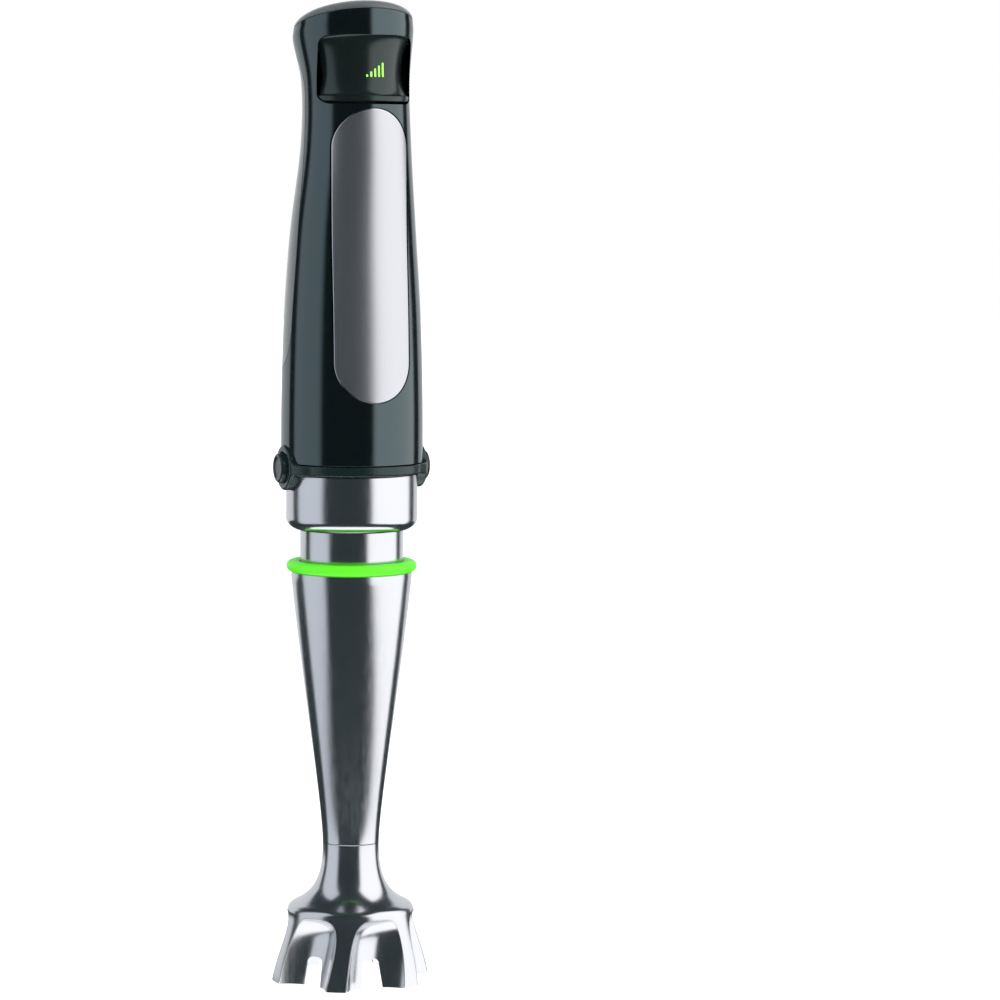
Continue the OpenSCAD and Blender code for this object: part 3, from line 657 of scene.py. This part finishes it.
def on_cap(back):
    """The frame of a piece that stands on the tilted rim plane, back from its middle."""
    return (Matrix.Translation((0, back / 1000, (RIM_Z - RIM_SLOPE * back) / 1000))
            @ Matrix.Rotation(-math.atan(RIM_SLOPE), 4, "X"))


def trigger_inset(s):
    """How deep the trigger's face lies in the casing at a station: its finger hollow."""
    mid, lip = sum(TRIGGER_Z) / 2, 2.2
    half = (TRIGGER_Z[1] - TRIGGER_Z[0]) / 2 - lip
    return TRIGGER_INSET + HOLLOW * np.maximum(0, 1 - ((s - mid) / half) ** 2) ** 0.6


def trigger_depth(p):
    return body_depth(p) - trigger_inset(station_of(p[..., 1], p[..., 2]))


def trigger_surface(u, v):
    """The trigger's face, unrolled: u runs round the casing and v up it."""
    return body_point(u / TRIGGER_R - math.pi / 2, v, trigger_inset(v))


def trigger_at(x, z, proud=0.0):
    """The trigger's front near its middle, as points over the front view."""
    y = -20 + 0 * x
    for _ in range(12):
        s = z + body_tilt(z) * y
        y = body_y(s) - np.sqrt((body_r(s) - trigger_inset(s) + proud) ** 2 - x * x)
    return np.stack([x, y, z], -1)


def rectangle(half, low, high, r, middle=0.0, steps=5):
    """A rounded rectangle over the front view."""
    left, right = middle - half, middle + half
    return rounded([(left, low, r), (right, low, r), (right, high, r), (left, high, r)], steps)


def make_casing():
    """The shells, the grip, the plate, the trigger and its bars, by CAD node."""
    made = {}
    window = rectangle(20, TRIGGER_Z[0] - 1, TRIGGER_Z[1] + 1.6, 4, steps=8)
    for part in ("front_shell", "rear_shell"):
        inside = casing("inside", CASE_WALL, CASE_Z - 1, 2, 160, 80)
        shell = cut(casing(part, 0, CASE_Z + 0.3, soft=0.3), inside)
        tools = [skin_tool("grip_recess", GRIP_RECESS, grip_side(0.1), "X", -40, 40)]
        for side in (1, -1):
            tools += [web_on(side, 0.25), disc_on(side, BOSS_R + 0.2, 26, 40)]
        if part == "front_shell":
            tools += [block((-40, SPLIT_Y, 200), (40, 60, 420)), prism("window", window, "Y", -40, -6),
                      skin_tool("plate_recess", PLATE_RECESS, stadium(0.3), "Y", -60, 0)]
        else:
            tools += [block((-40, -60, 200), (40, SPLIT_Y + 0.1, 420))]
        made[part] = smooth_on(cut(shell, *tools), body_depth,
                               (0, CASE_WALL, PLATE_RECESS, GRIP_RECESS))
        made[part].name = part + "_skin"
    grip = cut(casing("rear_grip_skin", 0, CASE_Z), casing("core", GRIP_SKIN, CASE_Z - 2, 4))
    grip = cut(grip, prism("outline", grip_side(-0.3), "X", -40, 40), how="INTERSECT")
    made["rear_grip"] = smooth_on(grip, body_depth, (0, GRIP_SKIN))

    outline = dense(stadium())
    low, high = PLATE_Z[0] + PLATE_W / 2, PLATE_Z[1] - PLATE_W / 2
    core = np.stack([0 * outline[:, 0], np.clip(outline[:, 1], low, high)], -1)
    made["front_plate"] = panel("front_plate_skin", outline, core, casing_front, 1.0, 0.45,
                                inner=30, rim=0.55)

    half = TRIGGER_R * math.radians(TRIGGER_HALF_ANGLE)
    mid = sum(TRIGGER_Z) / 2
    low, high = TRIGGER_Z
    outline = dense(rectangle(half, low, high, 4.5, steps=10), 0.5)
    reach = half - (high - low) / 2
    core = np.stack([np.clip(outline[:, 0], -reach, reach), mid + 0 * outline[:, 0]], -1)
    skin = panel("trigger_skin", outline, core, trigger_surface, 1.3, 0.6, inner=40)
    made["trigger_shell"] = smooth_on(skin, trigger_depth, (0,), 0.01, 50)

    bars, pitch, half, proud = [], 1.75, 0.38, 0.12
    for i, tall in enumerate((0.9, 2.1, 3.3, 4.5, 5.7)):
        x = 1.9 + (i - 2) * pitch
        z = TRIGGER_Z[0] + 10
        outline = dense(rectangle(half, z, z + tall, 0.25, x), 0.3)
        core = np.stack([x + 0 * outline[:, 0], np.clip(outline[:, 1], z + 0.4, z + tall - 0.4)], -1)
        bars.append(panel(f"bar_{i}", outline, core, lambda u, v: trigger_at(u, v, proud), 0.7, proud,
                          inner=3))
    made["speed_bars"] = join(*bars)
    made["speed_bars"].name = "speed_bars_lit"
    return made


def make_base_ring():
    bore, step, edge = 22.7, 25.8, 0.9
    low, ledge, high = HANDLE_Z + 0.3, COLLAR_TOP + 0.3, CASE_Z - 0.3
    ring = lathe("base_ring_band", rounded([(bore, low, 0), (step, low, 0), (step, ledge, 0),
                                            (BASE_R, ledge, edge), (BASE_R, high, 0.6), (bore, high, 0)]))
    for side in (1, -1):
        boss = [(0, BOSS_IN), (BOSS_R, BOSS_IN), *rounded_rim(BOSS_R, BOSS_FACE - edge, edge),
                (0, BOSS_FACE)]
        cut(ring, turn_to_x(spindle("boss", boss), side), web_on(side), how="UNION")
    dish = [(0, 20), (RELEASE_R + 0.2, 20), (RELEASE_R + 0.2, 29.5), (RELEASE_R + 0.8, BOSS_FACE),
            (RELEASE_R + 0.9, 36), (0, 36)]
    cut(ring, *[turn_to_x(spindle("hole", dish), side) for side in (1, -1)])
    shade(ring.data, 28)
    return ring


def make_button(side, name):
    """A release button with a stem behind it and a shallow dish in its face."""
    stem, stem_in, edge = 1.6, BOSS_IN + 0.2, 0.9
    outline = [(0, stem_in), (stem, stem_in), (stem, BUTTON_IN), (RELEASE_R, BUTTON_IN),
               *rounded_rim(RELEASE_R, BUTTON_FACE - edge, edge),
               (4.6, 32.45), (4.2, 32.2), (3.8, 32.05), (2.5, 32.0), (1.2, 32.0), (0, 32.0)]
    return turn_to_x(spindle(name, outline, 96), side)


def make_cap():
    """The domed cap over the rim, with the button's hole and the gland's hole, and its skirt inside."""
    a = angles(240, 0.5)
    rings = []
    for k in np.sin(np.linspace(0, math.pi / 2, 48)):
        rho = (body_r(RIM_Z) - 0.05) * max(1e-4, 1 - k * k) ** (1 / 3)
        y = rho * np.sin(a)
        rings.append(np.stack([rho * np.cos(a), y, RIM_Z + 0.2 - RIM_SLOPE * y + DOME_H * k], -1))
    cap = rings_solid("top_cap_skin", rings)
    for r, back in ((SAFETY_R + 0.2, SAFETY_BACK), (GLAND_R, GLAND_BACK)):
        cut(cap, move(spindle("hole", [(0, -6), (r, -6), (r, 20), (0, 20)]), on_cap(back)))
    shade(cap.data, 28)
    plug = float(body_r(RIM_Z)) - CASE_WALL - 0.3
    skirt = move(lathe("skirt", [(plug - 2, -4), (plug, -4), (plug, 0.6), (plug - 2, 0.6)]), on_cap(0))
    return join(cap, skirt)


def make_safety():
    """The safety button, with a shallow dish in its top."""
    top, edge, stem = DOME_H + 0.5, 0.7, 4.6
    outline = [(0, -1.8), (stem, -1.8), (stem, 1.4), (SAFETY_R, 1.4),
               *rounded_rim(SAFETY_R, top - edge, edge), (5.6, top - 0.05), (5.1, top - 0.35),
               (4.4, top - 0.55), (2.5, top - 0.65), (0, top - 0.65)]
    return move(spindle("safety_button_cap", outline), on_cap(SAFETY_BACK))


def make_gland():
    """The gland where the cable enters, with two ribs."""
    z, pitch = 3.0, 1.55
    corners = [(CABLE_R, -4, 0), (GLAND_R - 0.02, -4, 0), (GLAND_R - 0.02, z, 0.2)]
    for step in range(2):
        r = GLAND_R - 0.25 - 0.3 * step
        corners += [(r - 0.8, z + 0.1, 0.2), (r - 0.8, z + 0.6, 0.2), (r, z + 0.75, 0.25),
                    (r - 0.1, z + pitch, 0.25)]
        z += pitch
    corners += [(CABLE_R + 0.2, 6.35, 0.15), (CABLE_R, 6.1, 0)]
    return move(lathe("cord_gland_ribbed", rounded(corners, 3), 128), on_cap(GLAND_BACK))


# ---------- shaft pieces ----------

def make_tube():
    """The tapering tube, with a spigot that goes down into the bell's neck."""
    outer = bezier(TUBE_LINE, 70)
    inner = beside(outer, -1)
    spigot, spigot_z = NECK_R - WALL - 0.1, 51
    line = [(spigot - 1, spigot_z), (spigot, spigot_z), (spigot, BELL_H), (NECK_R - 0.3, BELL_H),
            (NECK_R - 0.06, BELL_H + 0.12), (NECK_R, BELL_H + 0.35), *outer[1:],
            (TUBE_R, RING_Z - 0.25), (TUBE_R - 0.25, RING_Z), (TUBE_R - 1, RING_Z), *inner[:0:-1],
            (spigot - 1, BELL_H + 2)]
    return lathe("shaft_tube_skin", line, sharp=30)


def make_ring():
    """The soft ring: a half-round bead with a lip that goes down into the tube."""
    inner, half, top = SLEEVE_R + 0.3, RING_H / 2, RING_Z + RING_H
    lip, lip_z, edge = TUBE_R - 1.1, RING_Z - 4, RING_R - half
    bead = [(edge + half * math.cos(a), RING_Z + half + half * math.sin(a))
            for a in np.linspace(-math.pi / 2, math.pi / 2, 28)]
    line = [(inner, lip_z), (lip, lip_z), (lip, RING_Z), *bead, (inner + 0.7, top - 0.08),
            (inner + 0.15, top - 0.4), (inner, top - 0.9)]
    return lathe("soft_ring_skin", line, sharp=40)


def make_sleeve():
    low, high = 162, 200
    return lathe("sleeve_skin", rounded([(SLEEVE_R - 1, low, 0.2), (SLEEVE_R, low, 0.3),
                                         (SLEEVE_R, high, 0), (SLEEVE_R - 1, high, 0)]))


def make_collar():
    """The collar, closed in below as far as the sleeve."""
    low = 187.5
    outer = bezier([(22.4, low), (25.4, 188.5), (COLLAR_R, 190.1), (COLLAR_R, 192.7)], 28)
    line = [(SLEEVE_R + 0.1, low + 0.15), (SLEEVE_R + 0.25, low), *outer,
            (COLLAR_R, COLLAR_TOP - 0.5), (COLLAR_R - 0.15, COLLAR_TOP - 0.12),
            (COLLAR_R - 0.5, COLLAR_TOP), (COLLAR_R - 1, COLLAR_TOP),
            *beside(outer, -1)[::-1], (SLEEVE_R + 0.1, low + 0.9)]
    return lathe("collar_skin", line, sharp=40)


def make_spring(name, r, wire, low, length, turns):
    """A round wire coil that stands along Z from its low end."""
    t = np.linspace(0, 1, int(turns * 24) + 1)
    return sweep(name, polar(2 * math.pi * turns * t, r, low + wire + (length - 2 * wire) * t), wire)


# ---------- materials ----------

def even(scale):
    return (scale, scale, scale)


def material(name, colour, roughness, metallic, grain, bump, vary, tone, **sockets):
    """A finish whose roughness, colour and relief vary with a grain in the object's own space.

    vary is the swing of the roughness, and tone the swing of the colour.
    """
    m = bpy.data.materials.new(name)
    m.use_nodes = True
    tree = m.node_tree
    shader = tree.nodes["Principled BSDF"]
    shader.inputs["Metallic"].default_value = metallic
    for key, value in sockets.items():
        shader.inputs[key.replace("_", " ")].default_value = value
    where = tree.nodes.new("ShaderNodeTexCoord")
    scale = tree.nodes.new("ShaderNodeMapping")
    scale.inputs["Scale"].default_value = grain
    noise = tree.nodes.new("ShaderNodeTexNoise")
    noise.inputs["Scale"].default_value = 1.0
    noise.inputs["Detail"].default_value = 3.0
    tree.links.new(where.outputs["Object"], scale.inputs["Vector"])
    tree.links.new(scale.outputs["Vector"], noise.inputs["Vector"])
    spread = tree.nodes.new("ShaderNodeMapRange")
    spread.inputs["From Min"].default_value = 0.3
    spread.inputs["From Max"].default_value = 0.7
    spread.inputs["To Min"].default_value = roughness - vary
    spread.inputs["To Max"].default_value = roughness + vary
    tree.links.new(noise.outputs["Fac"], spread.inputs["Value"])
    tree.links.new(spread.outputs["Result"], shader.inputs["Roughness"])
    mix = tree.nodes.new("ShaderNodeMix")
    mix.data_type = "RGBA"
    mix.inputs["A"].default_value = (*[c * (1 - tone) for c in colour], 1)
    mix.inputs["B"].default_value = (*[min(1, c * (1 + tone)) for c in colour], 1)
    tree.links.new(noise.outputs["Fac"], mix.inputs["Factor"])
    tree.links.new(mix.outputs["Result"], shader.inputs["Base Color"])
    relief = tree.nodes.new("ShaderNodeBump")
    relief.inputs["Strength"].default_value = bump
    relief.inputs["Distance"].default_value = 0.0002
    tree.links.new(noise.outputs["Fac"], relief.inputs["Height"])
    tree.links.new(relief.outputs["Normal"], shader.inputs["Normal"])
    return m


FINISH = {
    "polished_steel": material("polished_steel", (0.66, 0.67, 0.70), 0.19, 1.0, (900, 900, 120),
                               0.002, 0.03, 0.03),
    "brushed_plate": material("brushed_plate", (0.60, 0.60, 0.64), 0.32, 0.965, (5200, 5200, 24),
                              0.012, 0.03, 0.05),
    "inner_steel": material("inner_steel", (0.55, 0.56, 0.58), 0.3, 1.0, even(700), 0.05, 0.06,
                            0.05),
    "gloss_black": material("gloss_black", (0.0012, 0.0022, 0.0028), 0.13, 0.0, even(260), 0.006,
                            0.02, 0.2,
                            IOR=1.65, Specular_IOR_Level=0.9, Specular_Tint=(0.72, 0.95, 1, 1)),
    "soft_grey": material("soft_grey", (0.062, 0.078, 0.078), 0.42, 0.0, even(2600), 0.2, 0.05, 0.2,
                          Specular_IOR_Level=0.9, Sheen_Weight=0.5, Sheen_Roughness=0.35),
    "black_plastic": material("black_plastic", (0.006, 0.013, 0.013), 0.26, 0.0, even(1800), 0.08,
                              0.05, 0.2, Specular_IOR_Level=0.6, Specular_Tint=(0.8, 1, 1, 1)),
    "trigger_black": material("trigger_black", (0.005, 0.009, 0.009), 0.24, 0.0, even(900), 0.02,
                              0.03, 0.2, Specular_IOR_Level=0.7, Specular_Tint=(0.82, 1, 0.98, 1)),
    "green_silicone": material("green_silicone", (0.10, 0.80, 0.006), 0.42, 0.0, even(1500), 0.08,
                               0.06, 0.06),
    "green_light": material("green_light", (0.30, 0.85, 0.08), 0.4, 0.0, even(1200), 0.02, 0.05,
                            0.1, Emission_Color=(0.25, 0.9, 0.06, 1), Emission_Strength=1.0),
    "dark_rubber": material("dark_rubber", (0.02, 0.02, 0.02), 0.6, 0.0, even(1500), 0.2, 0.06,
                            0.2),
    "bronze": material("bronze", (0.55, 0.33, 0.14), 0.35, 1.0, even(900), 0.1, 0.08, 0.1),
    "laminations": material("laminations", (0.30, 0.31, 0.33), 0.42, 1.0, (20, 20, 2000), 0.5,
                            0.08, 0.25),
    "copper": material("copper", (0.72, 0.30, 0.12), 0.3, 1.0, (60, 60, 2400), 0.6, 0.08, 0.2),
    "cast_alloy": material("cast_alloy", (0.50, 0.51, 0.52), 0.45, 1.0, even(500), 0.25, 0.08,
                           0.08),
    "brass": material("brass", (0.72, 0.52, 0.20), 0.3, 1.0, even(800), 0.06, 0.06, 0.06),
    "carbon": material("carbon", (0.03, 0.03, 0.032), 0.55, 0.0, even(1800), 0.25, 0.06, 0.3),
    "board_green": material("board_green", (0.02, 0.16, 0.06), 0.4, 0.0, even(900), 0.08, 0.06,
                            0.2),
    "capacitor_blue": material("capacitor_blue", (0.02, 0.08, 0.30), 0.35, 0.0, even(700), 0.05,
                               0.05, 0.1),
    "white_nylon": material("white_nylon", (0.62, 0.62, 0.58), 0.45, 0.0, even(1100), 0.08, 0.05,
                            0.05),
}


def fit(ob, finish, body, *nodes):
    """Paints a piece and says which body it rides on and which CAD nodes it stands for."""
    if not ob.data.materials:
        ob.data.materials.append(FINISH[finish])
    ob.data.materials[0] = FINISH[finish]
    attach(ob, body)
    if nodes:
        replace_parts(ob, *nodes)
    return ob


# ---------- the pieces ----------

bell, bell_edges = make_bell()
fit(bell, "polished_steel", "foot", "bell")
fit(bell_edges, "polished_steel", "foot")
fit(make_tube(), "polished_steel", "foot", "shaft_tube")
fit(make_ring(), "green_silicone", "foot", "soft_ring")
fit(make_sleeve(), "polished_steel", "attachment", "sleeve")
fit(make_collar(), "polished_steel", "attachment", "collar_shell")
fit(make_base_ring(), "black_plastic", "handle", "base_ring")
cover = make_casing()
fit(cover["front_shell"], "gloss_black", "handle", "front_shell")
fit(cover["rear_shell"], "gloss_black", "handle", "rear_shell")
fit(cover["rear_grip"], "soft_grey", "handle", "rear_grip")
fit(cover["front_plate"], "brushed_plate", "handle", "front_plate")
cover["front_plate"].data.materials.append(FINISH["polished_steel"])
fit(cover["trigger_shell"], "trigger_black", "speed_trigger", "trigger_shell")
fit(cover["speed_bars"], "green_light", "speed_trigger", "speed_bars")
fit(make_cap(), "soft_grey", "handle", "top_cap")
fit(make_safety(), "black_plastic", "safety_button", "safety_button")
fit(make_gland(), "dark_rubber", "handle", "cord_gland")
for side, word in ((1, "right"), (-1, "left")):
    fit(make_button(side, f"release_button_{word}_cap"), "black_plastic", f"release_{word}",
        f"release_button_{word}")

length = SEAT_Z - 137.2
spring = fit(make_spring("stroke_spring_coil", 14.5, 0.9, 137.1, length, 7), "inner_steel",
             "attachment", "stroke_spring")
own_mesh(spring)

seat, length = -7.5, 5.4
spring = fit(move(make_spring("safety_spring_coil", 3.4, 0.4, seat, length, 3), on_cap(SAFETY_BACK)),
             "inner_steel", "handle", "safety_spring")
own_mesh(spring)

seat, length = SOCKET_R + 1.95, 6.9
for side, word in ((1, "right"), (-1, "left")):
    spring = fit(turn_to_x(make_spring(f"release_spring_{word}", 2.05, 0.3, seat, length, 4), side),
                 "inner_steel", "handle", "release_springs")
    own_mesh(spring)

replaced = {n for o in bpy.data.objects for n in o.get("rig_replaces", [])}
slots = {row["node"]: row["material_slot"] for row in frame["record"]["subparts"]}
for name, node in frame["nodes"].items():
    if name not in replaced:
        node.data.materials.clear()
        node.data.materials.append(FINISH[slots[name]])


# ---------- floor, light and camera ----------

VIEW = math.radians(19.5)  # the camera's turn from straight ahead
AWAY = Vector((math.sin(VIEW), math.cos(VIEW), 0))
RIGHT = Vector((math.cos(VIEW), -math.sin(VIEW), 0))


def card(name, along, across, low, high, towards, width, radiance, fade, colour=(1, 1, 1)):
    """A tall glowing panel that faces the point towards.

    Its middle is along the view line and across it, and it fades over a share of each side.
    """
    me = bpy.data.meshes.new(name)
    h = width / 2
    me.from_pydata([(-h, 0, low), (h, 0, low), (h, 0, high), (-h, 0, high)], [], [(0, 1, 2, 3)])
    ob = bpy.data.objects.new(name, me)
    bpy.context.scene.collection.objects.link(ob)
    place = AWAY * along + RIGHT * across
    aim = AWAY * towards[0] + RIGHT * towards[1] - place
    ob.location = place
    ob.rotation_euler = (0, 0, math.atan2(aim.y, aim.x) + math.pi / 2)
    m = bpy.data.materials.new(name)
    m.use_nodes = True
    tree = m.node_tree
    tree.nodes.clear()
    out = tree.nodes.new("ShaderNodeOutputMaterial")
    glow = tree.nodes.new("ShaderNodeEmission")
    glow.inputs["Color"].default_value = (*colour, 1)
    where = tree.nodes.new("ShaderNodeTexCoord")
    split = tree.nodes.new("ShaderNodeSeparateXYZ")
    ramp = tree.nodes.new("ShaderNodeValToRGB")
    ramp.color_ramp.interpolation = "EASE"
    stops, dark = ramp.color_ramp.elements, 0.02
    stops[0].position, stops[0].color = 0.0, (dark, dark, dark, 1)
    stops[1].position, stops[1].color = fade[0], (1, 1, 1, 1)
    for position, value in ((1 - fade[1], 1), (1, dark)):
        stops.new(position).color = (value, value, value, 1)
    times = tree.nodes.new("ShaderNodeMath")
    times.operation = "MULTIPLY"
    times.inputs[1].default_value = radiance
    tree.links.new(where.outputs["Generated"], split.inputs["Vector"])
    tree.links.new(split.outputs["X"], ramp.inputs["Fac"])
    tree.links.new(ramp.outputs["Color"], times.inputs[0])
    tree.links.new(times.outputs["Value"], glow.inputs["Strength"])
    tree.links.new(glow.outputs["Emission"], out.inputs["Surface"])
    me.materials.append(m)
    ob.visible_camera = False
    ob.visible_shadow = False


card("left_card", -0.30, -1.0, -0.3, 2.2, (-0.30, 0), 1.35, 0.85, (0.25, 0.12),
     colour=(0.88, 0.94, 1.0))
card("right_card", -0.50, 1.0, -0.3, 2.2, (-0.50, 0), 2.3, 1.45, (0.08, 0.22))
card("back_card", 1.4, -0.45, -0.2, 1.2, (0, -0.45), 3.6, 0.85, (0.04, 0.04),
     colour=(0.95, 0.96, 1.0))

sky = bpy.data.lights.new("overhead", "SUN")
sky.angle = math.radians(70)
sky.energy = 2.7
overhead = bpy.data.objects.new("overhead", sky)
overhead.visible_glossy = False
bpy.context.scene.collection.objects.link(overhead)


FLOOR_Z = -0.061  # in metres, low enough for the shaft to be pulled out above it
FLOOR = material("pale_floor", (0.87, 0.87, 0.87), 0.8, 0.0, even(30), 0.02, 0.05, 0.005)


def ground(name, inner, outer, glossy):
    """A flat ring of pale floor, closed in the middle when inner is 0."""
    n = 96
    rings = [polar(angles(n), r, FLOOR_Z) for r in ((inner, outer) if inner else (outer,))]
    me = bpy.data.meshes.new(name)
    me.from_pydata(np.concatenate(rings).tolist(), [], band(0, n, n) if inner else [tuple(range(n))])
    me.materials.append(FLOOR)
    ob = bpy.data.objects.new(name, me)
    ob.visible_glossy = glossy
    bpy.context.scene.collection.objects.link(ob)


NEAR_FLOOR_R = 0.22  # reflections show the floor as far as this
ground("floor_near", 0, NEAR_FLOOR_R, True)
ground("floor_far", NEAR_FLOOR_R, 8.0, False)

world = bpy.data.worlds.new("studio")
bpy.context.scene.world = world
world.use_nodes = True
tree = world.node_tree
tree.nodes.clear()
out = tree.nodes.new("ShaderNodeOutputWorld")
pick = tree.nodes.new("ShaderNodeMixShader")
ray = tree.nodes.new("ShaderNodeLightPath")
dim, white = tree.nodes.new("ShaderNodeBackground"), tree.nodes.new("ShaderNodeBackground")
dim.inputs["Color"].default_value = (0.036, 0.049, 0.053, 1)
white.inputs["Color"].default_value = (1, 1, 1, 1)
either = tree.nodes.new("ShaderNodeMath")
either.operation = "MAXIMUM"
tree.links.new(ray.outputs["Is Camera Ray"], either.inputs[0])
tree.links.new(ray.outputs["Is Diffuse Ray"], either.inputs[1])
tree.links.new(either.outputs[0], pick.inputs[0])
tree.links.new(dim.outputs[0], pick.inputs[1])
tree.links.new(white.outputs[0], pick.inputs[2])
tree.links.new(pick.outputs[0], out.inputs["Surface"])

CAMERA_BACK, CAMERA_Z = 1.6, 0.341
YAW, PITCH, ROLL = (math.radians(v) for v in (-2.19, 5.045, 0.36))
lens = bpy.data.cameras.new("camera")
lens.lens = 140.1
lens.sensor_width = 36
lens.clip_start = 0.05
camera = bpy.data.objects.new("camera", lens)
camera.location = AWAY * -CAMERA_BACK + Vector((0, 0, CAMERA_Z))
ahead = (Matrix.Rotation(YAW, 3, "Z") @ AWAY) * math.cos(PITCH)
ahead.z = -math.sin(PITCH)
camera.matrix_world = (Matrix.Translation(camera.location)
                       @ ahead.to_track_quat("-Z", "Y").to_matrix().to_4x4()
                       @ Matrix.Rotation(ROLL, 4, "Z"))
bpy.context.scene.collection.objects.link(camera)
bpy.context.scene.camera = camera
bpy.context.scene.view_settings.view_transform = "Standard"
